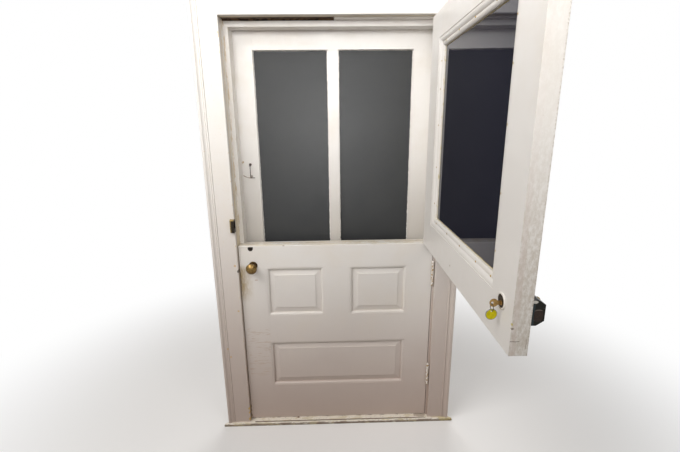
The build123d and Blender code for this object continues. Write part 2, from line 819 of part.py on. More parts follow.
def casing_section(width):
    """Half round arris, broad flat, a bead, an outer band that stands proud, and a back relieved
    between two lands so that it beds on jamb and wall."""
    t = casing_t
    bead_x = width - band_w
    cove_x = bead_x + band_bead_w
    arris = ThreePointArc((0, t - casing_arris), (casing_arris * 0.3, t - casing_arris * 0.3),
                          (casing_arris, t))
    flat = Line((casing_arris, t), (bead_x, t))
    bead = ThreePointArc((bead_x, t), ((bead_x + cove_x) / 2, t + band_bead_h), (cove_x, t))
    rise = Line((cove_x, t), (cove_x + 1, t + 2))
    cove_end = width - band_flat_w
    cove = ThreePointArc((cove_x + 1, t + 2), (cove_x + (cove_end - cove_x) * 0.62, t + (band_t - t) * 0.45),
                         (cove_end, band_t))
    top = Line((cove_end, band_t), (width - casing_arris, band_t))
    arris_mid = (width - casing_arris * 0.3, band_t - casing_arris * 0.3)
    arris_end = (width, band_t - casing_arris)
    outer = ThreePointArc((width - casing_arris, band_t), arris_mid, arris_end)
    outer_land = width - casing_outer_land
    deep = casing_relief_d
    back = Polyline(arris_end, (width, 0), (outer_land, 0), (outer_land - deep, deep),
                    (casing_inner_land + deep, deep), (casing_inner_land, 0), (0, 0),
                    (0, t - casing_arris))
    return make_face((arris + flat + bead + rise + cove + top + outer + back).edges())


def casings():
    """Side and head casings, mitred where they meet, the left one notched for the rim strike."""
    right_in = opening_half + casing_reveal_right
    z0 = threshold_t
    left_plane = Plane(origin=(-opening_half, 0, z0), x_dir=(-1, 0, 0), z_dir=(0, 0, 1))
    right_plane = Plane(origin=(right_in, 0, casing_top), x_dir=(1, 0, 0), z_dir=(0, 0, -1))
    head_plane = Plane(origin=(-casing_out, 0, head_z), x_dir=(0, 0, 1), z_dir=(1, 0, 0))
    height = casing_top - z0
    left = extrude(left_plane * casing_section(casing_w), amount=height)
    right = extrude(right_plane * casing_section(casing_out - right_in), amount=height)
    head = extrude(head_plane * casing_section(casing_w), amount=2 * casing_out)
    deep = band_t + 1
    rise = right_in - opening_half
    left_part = slab([(-opening_half, z0), (-casing_out, z0), (-casing_out, casing_top),
                      (-opening_half, head_z)], -deep, 1)
    right_part = slab([(right_in, z0), (casing_out, z0), (casing_out, casing_top),
                       (right_in, head_z + rise)], -deep, 1)
    head_part = slab([(-casing_out, casing_top), (casing_out, casing_top), (opening_half, head_z),
                      (-opening_half, head_z)], -deep, 1)
    return {
        "left_casing": (left & left_part) - rim_strike_room(),
        "right_casing": right & right_part,
        "head_casing": head & head_part,
    }


def rim_strike_room():
    """The notch in the casing's edge that takes the rim strike."""
    x1 = -opening_half + 1
    x0 = -opening_half - rim_strike_w - rim_strike_lip
    z0 = rim_strike_z - rim_strike_h / 2
    return board(x0, x1, -band_t - 1, -rim_strike_back, z0, z0 + rim_strike_h)


def rim_strike():
    """A box-shaped keeper with rounded front corners and a mouth towards the leaf."""
    x1 = -opening_half - rim_strike_lip
    x0 = x1 - rim_strike_w
    z0 = rim_strike_z - rim_strike_h / 2
    z1 = z0 + rim_strike_h
    keeper = board(x0, x1, -rim_strike_front, -rim_strike_back, z0, z1)
    front = keeper.faces().sort_by(Axis.Y)[0]
    keeper = fillet(front.edges().filter_by(Axis.X), rim_strike_r)
    half_t = rim_bolt_t / 2 + rim_mouth_clear
    half_h = rim_bolt_h / 2 + rim_mouth_clear
    mouth = board(x1 - rim_mouth_d, x1 + 1, rim_bolt_y - half_t, rim_bolt_y + half_t,
                  rim_bolt_z - half_h, rim_bolt_z + half_h)
    return keeper - mouth


def latch_pocket():
    """The pocket in the left jamb behind the latch strike."""
    half_t = latch_bolt_t / 2 + 2
    half_h = latch_bolt_h / 2 + 2
    x1 = -opening_half
    return board(x1 - strike_pocket_d, x1 + 1, mid_y - half_t, mid_y + half_t,
                 knob_z - half_h, knob_z + half_h)


def strike_plate():
    """The thin plate let into the jamb round the pocket."""
    x1 = -opening_half
    return board(x1 - strike_plate_t, x1, mid_y - latch_plate_w / 2, mid_y + latch_plate_w / 2,
                 knob_z - latch_plate_h / 2, knob_z + latch_plate_h / 2)


def jambs():
    """Side boards with the head board housed in them, and the stops planted on their faces."""
    z0 = threshold_t
    left = board(-jamb_out, -opening_half, 0, jamb_depth, z0, frame_top)
    right = board(opening_half, jamb_out, 0, jamb_depth, z0, frame_top)
    half = opening_half + housing_d
    head = board(-half, half, 0, jamb_depth, head_z, frame_top)
    left = left - head - strike_plate() - latch_pocket()
    right -= head
    for place in frame_hinge_places():
        right -= plate_space("frame", place)
        right -= group(hinge_screws(place))
    stop_z1 = head_z - head_stop_h
    return {
        "left_jamb": left,
        "right_jamb": right,
        "head_jamb": head,
        "left_stop": board(-opening_half, -stop_x, stop_y0, stop_y1, z0, head_z) - catch_eye(),
        "right_stop": board(stop_x, opening_half, stop_y0, stop_y1, z0, head_z),
        "head_stop": board(-stop_x, stop_x, stop_y0, stop_y1, stop_z1, head_z),
        "head_filler_strip": filler_strip(),
        "latch_strike": strike_plate() - latch_pocket(),
    }


def filler_strip():
    """The strip under the head board: its left half is broken away, which leaves a ragged end."""
    y0 = filler_front
    y1 = stop_y0
    deep = y1 - y0
    x = filler_left
    outline = [
        (opening_half, y0),
        (opening_half, y1),
        (x + 22, y1),
        (x + 9, y0 + deep * 0.8),
        (x + 14, y0 + deep * 0.62),
        (x, y0 + deep * 0.45),
        (x + 7, y0 + deep * 0.25),
        (x + 3, y0),
    ]
    face = make_face(Polyline(*outline, close=True).edges())
    return extrude(Plane.XY.offset(head_z - filler_t) * face, amount=filler_t)


def threshold():
    """The board under the door, with a rounded nose and horns that splay past the casings."""
    back = casing_t
    outline = [
        (-threshold_horn_front, -threshold_nose),
        (threshold_horn_front, -threshold_nose),
        (threshold_horn_back, -back),
        (threshold_horn_back, 0),
        (jamb_out, 0),
        (jamb_out, jamb_depth),
        (-jamb_out, jamb_depth),
        (-jamb_out, 0),
        (-threshold_horn_back, 0),
        (-threshold_horn_back, -back),
    ]
    sill = extrude(make_face(Polyline(*outline, close=True).edges()), amount=threshold_t)
    nose = sill.edges().filter_by(Axis.X).group_by(Axis.Y)[0].sort_by(Axis.Z)[-1]
    return fillet(nose, min(threshold_nose_r, threshold_t * 0.45))


def saddle_strip():
    """The loose strip on the threshold: broken at its left end and sagging at its right end."""
    z0 = threshold_t
    z1 = threshold_t + saddle_t
    deep = saddle_front + saddle_back
    x = -saddle_left
    outline = [
        (leaf_half, -saddle_front),
        (leaf_half, saddle_back),
        (x + 16, saddle_back),
        (x + 4, saddle_back - deep * 0.3),
        (x + 11, saddle_back - deep * 0.55),
        (x, saddle_back - deep * 0.8),
        (x + 6, -saddle_front),
    ]
    face = make_face(Polyline(*outline, close=True).edges())
    strip = extrude(Plane.XY.offset(z0) * face, amount=saddle_t)
    sag_x = leaf_half - saddle_sag_l
    wedge = slab([(sag_x, z1), (leaf_half, z1 - saddle_sag), (leaf_half, z1 + 1), (sag_x, z1 + 1)],
                 -saddle_front, saddle_back)
    return strip - wedge


def screen_door():
    """Stiles, rails and mullion of the screen door, with its two meshes in their grooves."""
    y0 = stop_y1
    y1 = screen_y1
    z0 = screen_z0
    z1 = screen_z1
    inner = leaf_half - screen_stile_w
    bottom_z = z0 + screen_bottom_w
    top_z = z1 - screen_top_w
    half = screen_mullion_w / 2
    mid = screen_mullion_x
    panes = [(-inner, mid - half, bottom_z, top_z), (mid + half, inner, bottom_z, top_z)]
    mesh_y0 = (y0 + y1) / 2 - mesh_t / 2
    grooves = []
    meshes = []
    for pane in panes:
        x0, x1, c0, c1 = shrink(pane, -mesh_groove)
        grooves.append(board(x0, x1, mesh_y0, mesh_y0 + mesh_t, c0, c1))
        x0, x1, c0, c1 = shrink(pane, mesh_play - mesh_groove)
        meshes.append(board(x0, x1, mesh_y0, mesh_y0 + mesh_t, c0, c1))
    pieces = {
        "screen_left_stile": board(-leaf_half, -inner, y0, y1, z0, z1) - hook_eye(),
        "screen_right_stile": board(inner, leaf_half, y0, y1, z0, z1),
        "screen_top_rail": board(-inner, inner, y0, y1, top_z, z1),
        "screen_bottom_rail": board(-inner, inner, y0, y1, z0, bottom_z),
        "screen_mullion": board(mid - half, mid + half, y0, y1, bottom_z, top_z),
    }
    for name, shape in pieces.items():
        for groove in grooves:
            shape -= groove
        pieces[name] = shape
    for z in screen_hinge_z:
        pieces["screen_right_stile"] -= plate_space("leaf", screen_hinge(z))
    pieces["screen_meshes"] = group(meshes)
    pieces["screen_hook_eye"] = hook_eye()
    pieces["screen_hook"] = hook()
    pieces["screen_hinge_leaves"] = group([hinge_half("leaf", screen_hinge(z)) for z in screen_hinge_z])
    return pieces


def hook_eye():
    """The screw eye on the screen door that carries the hook."""
    centre = (hook_x, hook_y, hook_z + eye_r)
    ring = Plane(origin=centre, x_dir=(0, 1, 0), z_dir=(1, 0, 0)) * Torus(eye_r, eye_wire_r)
    start = (hook_x, hook_y + eye_r, hook_z + eye_r)
    end = (hook_x, stop_y1 + eye_shank_l, hook_z + eye_r)
    return ring + rod(start, end, eye_wire_r)


def catch_eye():
    """The painted screw eye on the left stop that takes the hook's tip."""
    reach = eye_r + eye_wire_r + 1
    centre = (-stop_x + reach, hook_y, catch_eye_z)
    ring = Plane(origin=centre, x_dir=(1, 0, 0), z_dir=(0, 1, 0)) * Torus(eye_r, eye_wire_r)
    start = (-stop_x + reach - eye_r, hook_y, catch_eye_z)
    return ring + rod(start, (-stop_x - eye_shank_l, hook_y, catch_eye_z), eye_wire_r)


def hook():
    """A wire hook: a loop round the eye's wire, a straight arm and a bent tip."""
    loop_z = hook_z - (hook_loop_r - hook_loop_wire_r - eye_wire_r - hang_gap)
    loop_plane = Plane(origin=(hook_x, hook_y, loop_z), x_dir=(1, 0, 0), z_dir=(0, 1, 0))
    loop = loop_plane * Torus(hook_loop_r, hook_loop_wire_r)
    top = loop_z - hook_loop_r
    low = hook_z - hook_drop
    path = FilletPolyline((hook_x, hook_y, top), (hook_x, hook_y, low), (hook_x + hook_tip, hook_y, low),
                          radius=hook_bend_r)
    section = Plane(origin=(hook_x, hook_y, top), z_dir=(0, 0, -1)) * Circle(hook_wire_r)
    return loop + sweep(section, path=path)


def leaf_hinges(heights):
    """The leaf halves of one leaf's hinges."""
    return group([hinge_half("leaf", leaf_hinge(z)) for z in heights])


def all_pieces():
    """Every node by name, in its rest pose."""
    pieces = {"threshold": threshold(), "saddle_strip": saddle_strip()}
    pieces.update(jambs())
    pieces.update(casings())
    pieces["rim_strike"] = rim_strike()
    pieces["hook_catch_eye"] = catch_eye()
    pieces.update(frame_hinges())
    pieces.update(lower_leaf())
    pieces.update(latch_pieces())
    pieces["lower_leaf_hinges"] = leaf_hinges(lower_hinge_z)
    opened = upper_leaf()
    opened.update(rim_lock())
    opened.update(cylinder_pieces())
    opened["upper_leaf_hinges"] = leaf_hinges(upper_hinge_z)
    for name, shape in opened.items():
        pieces[name] = swung_open(shape)
    pieces.update(screen_door())
    return pieces


def main():
    os.makedirs("parts", exist_ok=True)
    for name, shape in all_pieces().items():
        export_step(shape, f"parts/{name}.step")


if __name__ == "__main__":
    main()
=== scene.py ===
import json
import math

import bmesh
import bpy
from mathutils import Matrix, Vector

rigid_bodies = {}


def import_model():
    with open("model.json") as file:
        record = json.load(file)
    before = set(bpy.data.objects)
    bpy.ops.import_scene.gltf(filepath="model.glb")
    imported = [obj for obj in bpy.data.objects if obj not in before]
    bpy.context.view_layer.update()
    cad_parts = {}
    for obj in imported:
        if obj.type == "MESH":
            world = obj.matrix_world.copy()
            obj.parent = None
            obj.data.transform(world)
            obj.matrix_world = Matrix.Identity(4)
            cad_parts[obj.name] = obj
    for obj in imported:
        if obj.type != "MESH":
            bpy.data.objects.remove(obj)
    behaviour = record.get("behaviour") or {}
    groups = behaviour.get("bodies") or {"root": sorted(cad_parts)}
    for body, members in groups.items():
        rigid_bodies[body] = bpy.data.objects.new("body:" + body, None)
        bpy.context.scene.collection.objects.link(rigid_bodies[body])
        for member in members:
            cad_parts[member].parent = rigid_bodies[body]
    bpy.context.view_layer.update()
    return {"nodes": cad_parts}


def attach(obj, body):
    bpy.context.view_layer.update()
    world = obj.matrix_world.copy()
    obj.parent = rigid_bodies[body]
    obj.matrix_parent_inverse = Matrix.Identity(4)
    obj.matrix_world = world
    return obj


for thing in list(bpy.data.objects):
    bpy.data.objects.remove(thing)

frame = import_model()
nodes = frame["nodes"]
MM = 0.001

# The upper leaf stands open in the model. These turn its places back to the shut leaf.
OPEN_ANGLE = math.radians(89.2)
PIN = (458.7, -7.5)

# Places in the door, in millimetres. The wall hides what lies between a face's two places here.
LEAF_HALF = 457.2
HINGE_L = 101.6
JAMB_SIDE = (478.9, 490.0)
HEAD_TOP = (1959.2, 1970.0)
CASING_BACK = (-2.3, 5.0)
HOOK_EYE = (-397.0, 1333.0)
HOOK_REACH = 59.0
BOLT_HOLE = (-402.0, 957.0)
PANE_HALF = (303.2, 334.75)
PANE_MIDDLE_Z = 1461.25
SCREEN_PANES = ((-190.85, 164.35), (188.85, 166.35))
SCREEN_MIDDLE_Z, SCREEN_HALF_H = 1002.0, 831.0
TAG_MIDDLE = (371.6, -861.1, 1052.2)
NAIL_IN_STRIP = (-213, -3, 20.5)


def opened(x, y, z):
    """A place on the shut upper leaf, in millimetres, moved to where the open leaf has it, in metres."""
    dx, dy = x - PIN[0], y - PIN[1]
    c, s = math.cos(OPEN_ANGLE), math.sin(OPEN_ANGLE)
    return Vector((PIN[0] + c * dx - s * dy, PIN[1] + s * dx + c * dy, z)) * MM


class Graph:
    """One material's nodes, written as short calls. Places are in millimetres."""

    def __init__(self, name, leaf_open=False):
        self.material = bpy.data.materials.new(name)
        self.material.use_nodes = True
        self.tree = self.material.node_tree
        self.tree.nodes.clear()
        self.output = self.tree.nodes.new("ShaderNodeOutputMaterial")
        coords = self.add("TexCoord").outputs["Object"]
        self.place = self.vector("MULTIPLY", coords, (1000, 1000, 1000))
        if leaf_open:
            turned = self.add("Mapping", {"Vector": self.place})
            c, s = math.cos(-OPEN_ANGLE), math.sin(-OPEN_ANGLE)
            turned.inputs["Rotation"].default_value = (0, 0, -OPEN_ANGLE)
            turned.inputs["Location"].default_value = (
                PIN[0] - (c * PIN[0] - s * PIN[1]),
                PIN[1] - (s * PIN[0] + c * PIN[1]),
                0,
            )
            self.place = turned.outputs["Vector"]
        parts = self.add("SeparateXYZ", {"Vector": self.place})
        self.x, self.y, self.z = parts.outputs

    def put(self, socket, value):
        if isinstance(value, bpy.types.NodeSocket):
            self.tree.links.new(value, socket)
        elif socket.type == "RGBA":
            socket.default_value = tuple(value)[:3] + (1.0,)
        else:
            socket.default_value = value

    def add(self, kind, inputs=None, **settings):
        node = self.tree.nodes.new("ShaderNode" + kind)
        for key, value in settings.items():
            setattr(node, key, value)
        for key, value in (inputs or {}).items():
            self.put(node.inputs[key], value)
        return node

    def math(self, operation, a, b=0.0, c=0.0):
        return self.add("Math", {0: a, 1: b, 2: c}, operation=operation).outputs[0]

    def vector(self, operation, a, b=(0, 0, 0)):
        node = self.add("VectorMath", {0: a, 1: b}, operation=operation)
        return node.outputs["Vector"]

    def length(self, a):
        return self.add("VectorMath", {0: a}, operation="LENGTH").outputs["Value"]

    def noise(self, size, detail=3.0, roughness=0.5, stretch=(1, 1, 1), shift=0.0):
        """Noise whose blotches are about `size` millimetres, stretched along the axes."""
        scale = tuple(1.0 / (size * s) for s in stretch)
        place = self.vector("MULTIPLY", self.place, scale)
        if shift:
            place = self.vector("ADD", place, (shift, shift * 0.7, -shift))
        inputs = {"Vector": place, "Scale": 1.0, "Detail": detail, "Roughness": roughness}
        return self.add("TexNoise", inputs).outputs["Fac"]

    def ramp(self, value, low, high, to_low=0.0, to_high=1.0):
        """A smooth step from one value to another as the input goes from low to high."""
        inputs = {"Value": value, "From Min": low, "From Max": high, "To Min": to_low, "To Max": to_high}
        return self.add("MapRange", inputs, interpolation_type="SMOOTHSTEP").outputs["Result"]

    def mix(self, factor, a, b):
        """One colour over another. Sockets 6, 7 and 2 are the Mix node's two colours and its result."""
        return self.add("Mix", {"Factor": factor, 6: a, 7: b}, data_type="RGBA").outputs[2]

    def times(self, *values):
        result = values[0]
        for value in values[1:]:
            result = self.math("MULTIPLY", result, value)
        return result

    def most(self, a, b):
        return self.math("MAXIMUM", a, b)

    def inside(self, axis, low, high, soft=1.0):
        """1 between two places along an axis, falling off over `soft` millimetres outside them."""
        rise = self.ramp(axis, low - soft, low)
        fall = self.ramp(axis, high, high + soft, 1.0, 0.0)
        return self.times(rise, fall)

    def blob(self, centre, radii, ragged=0.35, size=6.0):
        """A ragged spot: 1 in the middle, 0 outside."""
        off = self.vector("SUBTRACT", self.place, centre)
        off = self.vector("DIVIDE", off, radii)
        wander = self.noise(size, 3.0, shift=sum(centre) % 7 + 1)
        edge = self.math("MULTIPLY_ADD", wander, ragged * 2, -ragged)
        distance = self.math("ADD", self.length(off), edge)
        return self.ramp(distance, 0.65, 1.0, 1.0, 0.0)

    def hollow(self, distance):
        """1 in corners and joints narrower than the distance in millimetres."""
        node = self.add("AmbientOcclusion", {"Distance": distance * MM}, samples=6)
        return self.math("SUBTRACT", 1.0, node.outputs["AO"])

    def edge(self, radius):
        """1 on sharp outer and inner edges."""
        soft = self.add("Bevel", {"Radius": radius * MM}, samples=4).outputs["Normal"]
        hard = self.add("NewGeometry").outputs["Normal"]
        dot = self.add("VectorMath", {0: soft, 1: hard}, operation="DOT_PRODUCT").outputs["Value"]
        return self.ramp(dot, 0.99, 0.86)

    def finish(self, color, roughness, height=None, depth=0.3, bevel=0.0, **sockets):
        """Ends the material in one shader. Height is in units of depth millimetres."""
        inputs = {"Base Color": color, "Roughness": roughness}
        inputs.update(sockets)
        shader = self.add("BsdfPrincipled", inputs)
        normal = None
        if bevel:
            normal = self.add("Bevel", {"Radius": bevel * MM}, samples=4).outputs["Normal"]
        if height is not None:
            given = {"Height": height, "Distance": depth * MM, "Strength": 1.0}
            if normal is not None:
                given["Normal"] = normal
            normal = self.add("Bump", given).outputs["Normal"]
        if normal is not None:
            self.put(shader.inputs["Normal"], normal)
        self.put(self.output.inputs["Surface"], shader.outputs[0])
        return self.material


# Paints, from the whitest to the most soiled. The whitest is painted light, a lit copy of the white paint.
# The last two are painted shade, shaded copies for the lower parts, and the last holds soiling too.
LIT_WHITE = (0.87, 0.85, 0.82)
WHITE = (0.79, 0.765, 0.73)
WARM = (0.76, 0.705, 0.63)
SILL_WHITE = (0.80, 0.74, 0.64)
YELLOWED = (0.74, 0.64, 0.46)
CREAM = (0.68, 0.58, 0.38)
SHADED_WHITE = (0.47, 0.435, 0.39)
SOIL_AND_SHADE = (0.47, 0.355, 0.30)

# Dirt, chips and bare wood. The grime is also the painted shade laid in corners and joints.
GREYED = (0.62, 0.57, 0.50)
OLD_COAT = (0.60, 0.49, 0.30)
SILL_COAT = (0.58, 0.50, 0.33)
FLECK = (0.60, 0.40, 0.16)
CHIP = (0.56, 0.38, 0.13)
TAN = (0.52, 0.39, 0.20)
DUST = (0.40, 0.32, 0.22)
SMUDGE = (0.40, 0.29, 0.13)
WOOD = (0.40, 0.265, 0.145)
GRIME_AND_SHADE = (0.27, 0.20, 0.13)
WOOD_DARK = (0.22, 0.13, 0.065)
BROWN = (0.17, 0.10, 0.05)
SILL_SPECK = (0.16, 0.11, 0.07)
RAW = (0.13, 0.075, 0.036)
CHAR = (0.022, 0.014, 0.009)

# How noise is stretched: along the sill, and down an upright
ALONG_SILL = (4.0, 1, 1)
DOWN = (1, 1, 7.0)


def paint(
    name, grain="z", marks=(), leaf_open=False, dirt=1.0, chips=0.35,
    low_shade_and_soil=0.0, low_from=1100.0, low_to=60.0, low_tone=SOIL_AND_SHADE, white=WHITE,
):
    """Brushed oil paint on wood, darker towards its foot, partly from soiling and partly as painted shade of
    the light falling off towards the floor; corners and joints are darkened with grime and painted shade.

    Marks are functions that return a mask, each with a colour and a strength.
    """
    g = Graph(name, leaf_open)
    along = {"x": (12, 1, 1), "y": (1, 12, 1), "z": (1, 1, 12)}[grain]
    cloud = g.noise(260, 4.0, 0.6)
    color = g.mix(g.ramp(cloud, 0.42, 0.72, 0.0, 0.55), white, WARM)
    brush = g.noise(2.6, 3.0, 0.6, along)
    color = g.mix(g.ramp(brush, 0.55, 0.8, 0.0, 0.10), color, GREYED)
    # Towards the foot the paint goes over to a lower tone: painted shade of the light falling off towards the
    # floor, partly soiling as well. Where the base is the whitest paint, the lighter top is painted light.
    if low_shade_and_soil:
        low = g.ramp(g.math("MULTIPLY_ADD", cloud, 260.0, g.z), low_from, low_to, 0.0, low_shade_and_soil)
        color = g.mix(low, color, low_tone)
    # Corners, joints and recesses darkened in patches: painted shade where less light reaches, partly grime
    # as well. The dirt argument scales it as well as the dust flecks.
    deep = g.hollow(8.0)
    patchy = g.ramp(g.noise(9.0, 4.0, 0.65), 0.3, 0.65, 0.25, 1.0)
    shade_and_grime = g.times(g.ramp(deep, 0.40, 0.95), patchy, 0.5 * dirt)
    color = g.mix(shade_and_grime, color, GRIME_AND_SHADE)
    flecks = g.ramp(g.noise(3.5, 2.0, 0.5, shift=3.1), 0.74, 0.765)
    color = g.mix(g.times(flecks, 0.3 * dirt), color, DUST)
    rough = g.ramp(g.noise(40.0, 3.0), 0.3, 0.7, 0.30, 0.46)
    height = g.math("MULTIPLY", brush, 0.35)
    height = g.math("ADD", height, g.times(g.noise(14.0, 2.0), 0.5))
    if chips:
        worn = g.times(g.edge(1.6), g.ramp(g.noise(7.0, 4.0, 0.7, shift=9.0), 0.56, 0.62))
        color = g.mix(g.times(worn, chips), color, TAN)
        height = g.math("SUBTRACT", height, g.times(worn, 0.8))
    for mask, tone, strength in marks:
        shown = mask(g)
        color = g.mix(g.times(shown, strength), color, tone)
        rough = g.math("ADD", rough, g.times(shown, 0.25 * strength))
    return g.finish(color, rough, height, 0.22, bevel=1.2)


def metal(
    name, tone, dull, metallic=1.0, rough=0.35, dirt=0.5, rubbed=0.3,
    leaf_open=False, paint_on=0.0, shine=0.5, marks=(),
):
    """Worn metal: two tones in patches, dark hollows, rubbed edges, and old paint over it where asked."""
    g = Graph(name, leaf_open)
    patch = g.noise(6.0, 4.0, 0.65)
    color = g.mix(g.ramp(patch, 0.40, 0.70, 0.0, 1.0), tone, dull)
    for mask, mark_tone, strength in marks:
        color = g.mix(g.times(mask(g), strength), color, mark_tone)
    deep = g.ramp(g.hollow(4.0), 0.3, 0.8)
    color = g.mix(g.times(deep, dirt), color, (0.015, 0.012, 0.01))
    color = g.mix(g.times(g.edge(0.7), rubbed), color, tuple(min(1.0, c * 2.2 + 0.05) for c in tone))
    roughness = g.ramp(g.noise(3.0, 3.0), 0.3, 0.7, rough * 0.8, rough * 1.5)
    if paint_on:
        over = g.ramp(g.noise(7.0, 4.0, 0.6, shift=5.0), 0.45, 0.50, 0.0, 1.0)
        color = g.mix(g.times(over, paint_on), color, WHITE)
        roughness = g.math("ADD", roughness, g.times(over, 0.1))
    height = g.noise(1.1, 3.0)
    constants = {"Metallic": metallic, "Specular IOR Level": shine}
    return g.finish(color, roughness, height, 0.06, bevel=0.5, **constants)


def finish_node(name, material):
    """The node keeps its mesh and takes this material."""
    mesh_object = nodes[name]
    mesh_object.data.materials.clear()
    mesh_object.data.materials.append(material)


# Marks in the paint, each where the photograph has it. Each is a function that gives a mask.


def spot(centre, radii, ragged=0.35, size=6.0):
    """One ragged spot round a place."""
    return lambda g: g.blob(centre, radii, ragged, size)


def flaking(axis, low, high, size=9.0, coverage=0.5, soft=3.0, stretch=(1, 1, 3.0), shift=0.0):
    """Patches of lost paint on a face between two places along an axis."""

    def mask(g):
        area = g.inside(getattr(g, axis), low, high, soft)
        patch = g.noise(size, 5.0, 0.7, stretch, shift=shift)
        return g.times(area, g.ramp(patch, 1.0 - coverage - 0.02, 1.0 - coverage + 0.03))

    return mask


def specks(size, high, shift=0.0, stretch=(1, 1, 1)):
    """Small scattered spots."""
    return lambda g: g.ramp(g.noise(size, 2.0, 0.5, stretch, shift=shift), high, high + 0.025)


def hand_smudge(g):
    """Where hands have soiled the lock stile below the knob, worst along the edge."""
    near = g.ramp(g.math("MULTIPLY_ADD", g.noise(30.0, 3.0), 40.0, g.x), -440.0, -372.0, 1.0, 0.0)
    up = g.times(g.ramp(g.z, 670.0, 760.0), g.ramp(g.z, 885.0, 850.0))
    runs = g.ramp(g.noise(7.0, 4.0, 0.65, (1, 1, 4)), 0.3, 0.56, 0.35, 1.0)
    return g.times(near, up, runs)


def drips(g):
    """Short level scrapes low on the lock stile."""
    area = g.times(g.inside(g.x, -440, -340, 12), g.inside(g.z, 300, 520, 40))
    return g.times(area, g.ramp(g.noise(5.0, 3.0, 0.6, (9, 1, 1), shift=2.0), 0.54, 0.66))


def stain(axis, low, high, soft=3.0, size=60.0, least=0.5):
    """An even discoloured band."""

    def mask(g):
        area = g.inside(getattr(g, axis), low, high, soft)
        return g.times(area, g.ramp(g.noise(size, 3.0), 0.3, 0.6, least, 1.0))

    return mask


def offset(g, middle):
    """How far to the side, how far up and how far away a point is from a place in the door's plane."""
    dx = g.math("SUBTRACT", g.x, middle[0])
    dz = g.math("SUBTRACT", g.z, middle[1])
    return dx, dz, g.math("SQRT", g.math("ADD", g.times(dx, dx), g.times(dz, dz)))


def hook_scratch(g):
    """The arc that the swinging hook has scored in the paint of the screen door's stile."""
    dx, dz, radius = offset(g, HOOK_EYE)
    ring = g.ramp(g.math("ABSOLUTE", g.math("SUBTRACT", radius, HOOK_REACH)), 0.8, 2.4, 1.0, 0.0)
    angle = g.math("ARCTAN2", g.math("MULTIPLY", dx, -1.0), g.math("MULTIPLY", dz, -1.0))
    part = g.inside(angle, -0.12, 0.62, 0.08)
    room_side = g.ramp(g.y, 124.0, 120.0)
    return g.times(ring, part, room_side, g.ramp(g.noise(5.0, 3.0), 0.35, 0.5))


def bolt_hole_shade(g):
    """The inside of the hole near the lock stile's top, painted near-black: painted shade in the hole."""
    radius = offset(g, BOLT_HOLE)[2]
    return g.times(g.ramp(radius, 12.2, 13.4, 1.0, 0.0), g.ramp(g.y, 0.2, 1.5))


def raw_side(axis, places, grain):
    """Bare wood on the faces that the wall hides, in two tones along the grain."""
    low, high = places
    along = {"x": (26, 1, 1), "z": (1, 1, 26)}[grain]
    return [
        (stain(axis, low, high, 0.3, 60, 0.92), WOOD, 1.0),
        (flaking(axis, low, high, 2.2, 0.5, 0.3, along), WOOD_DARK, 0.6),
    ]


# The lower leaf

bare_spots = [
    (spot((x, 0, z), (5, 14, height), 0.3, 5), BROWN, 0.9)
    for x, z, height in ((-458, 94, 9), (-458, 69, 8), (-457, 38, 9))
]
leaf_marks = [
    (hand_smudge, SMUDGE, 0.9),
    (spot((-384, 0, 800), (9, 14, 4), 0.5, 4), (0.40, 0.25, 0.17), 0.5),
    (drips, (0.50, 0.36, 0.26), 0.6),
    (flaking("x", -458.0, -454.0, 7, 0.38, 1.0, (1, 1, 1.6)), (0.54, 0.37, 0.13), 0.85),
    *bare_spots,
    (bolt_hole_shade, (0.035, 0.022, 0.014), 1.0),
]
# The leaf goes darker towards the floor: painted shade of the light's fall-off, with some soiling.
leaf_z = paint("leaf_paint_upright", "z", leaf_marks, low_shade_and_soil=0.85, dirt=0.5)
leaf_x = paint("leaf_paint_across", "x", leaf_marks, low_shade_and_soil=0.85, dirt=0.5)
for node in ("lower_lock_stile", "lower_hinge_stile", "lower_muntin", "left_panel", "right_panel"):
    finish_node(node, leaf_z)
for node in ("lower_bottom_rail", "lower_middle_rail", "lower_top_rail", "wide_panel"):
    finish_node(node, leaf_x)

cap_marks = [
    (spot((-247, -4, 971), (9, 7, 6), 0.4, 5), BROWN, 0.85),
    (stain("y", 41, 46, 2, 20, 0.4), GRIME_AND_SHADE, 0.65),
    (flaking("y", 4, 44, 9, 0.50, 6, (9, 1, 1)), OLD_COAT, 0.6),
    (flaking("y", 30, 44, 7, 0.42, 4, (9, 1, 1), 3.0), (0.40, 0.29, 0.16), 0.5),
]
ledge_marks = [
    (stain("y", 44, 47, 1, 20, 0.4), GRIME_AND_SHADE, 0.7),
    (flaking("y", 44, 80, 9, 0.50, 6, (9, 1, 1)), OLD_COAT, 0.6),
]
finish_node("cap_strip", paint("cap_paint", "x", cap_marks, dirt=1.2))
finish_node("drip_ledge", paint("ledge_paint", "x", ledge_marks, dirt=1.2))

# The frame

rebate = [
    (stain("y", -1, 15, 1.5, 40, 0.6), YELLOWED, 0.4),
    (flaking("y", 11, 17, 6, 0.50, 1.5, DOWN), (0.56, 0.40, 0.18), 0.6),
    (flaking("y", 17, 42, 6, 0.44, 2, DOWN, 4.0), (0.74, 0.62, 0.36), 0.7),
    (flaking("y", 30, 44, 5, 0.36, 2, (1, 1, 4), 8.0), (0.52, 0.40, 0.15), 0.7),
    (spot((-462, 22, 94), (6, 20, 12), 0.4, 5), BROWN, 0.9),
    (spot((-462, 22, 40), (6, 22, 16), 0.4, 5), BROWN, 0.9),
]
rebate += raw_side("x", (-JAMB_SIDE[1], -JAMB_SIDE[0]), "z")
right_marks = [(flaking("y", 0, 44, 12, 0.25), TAN, 0.4)] + raw_side("x", JAMB_SIDE, "z")
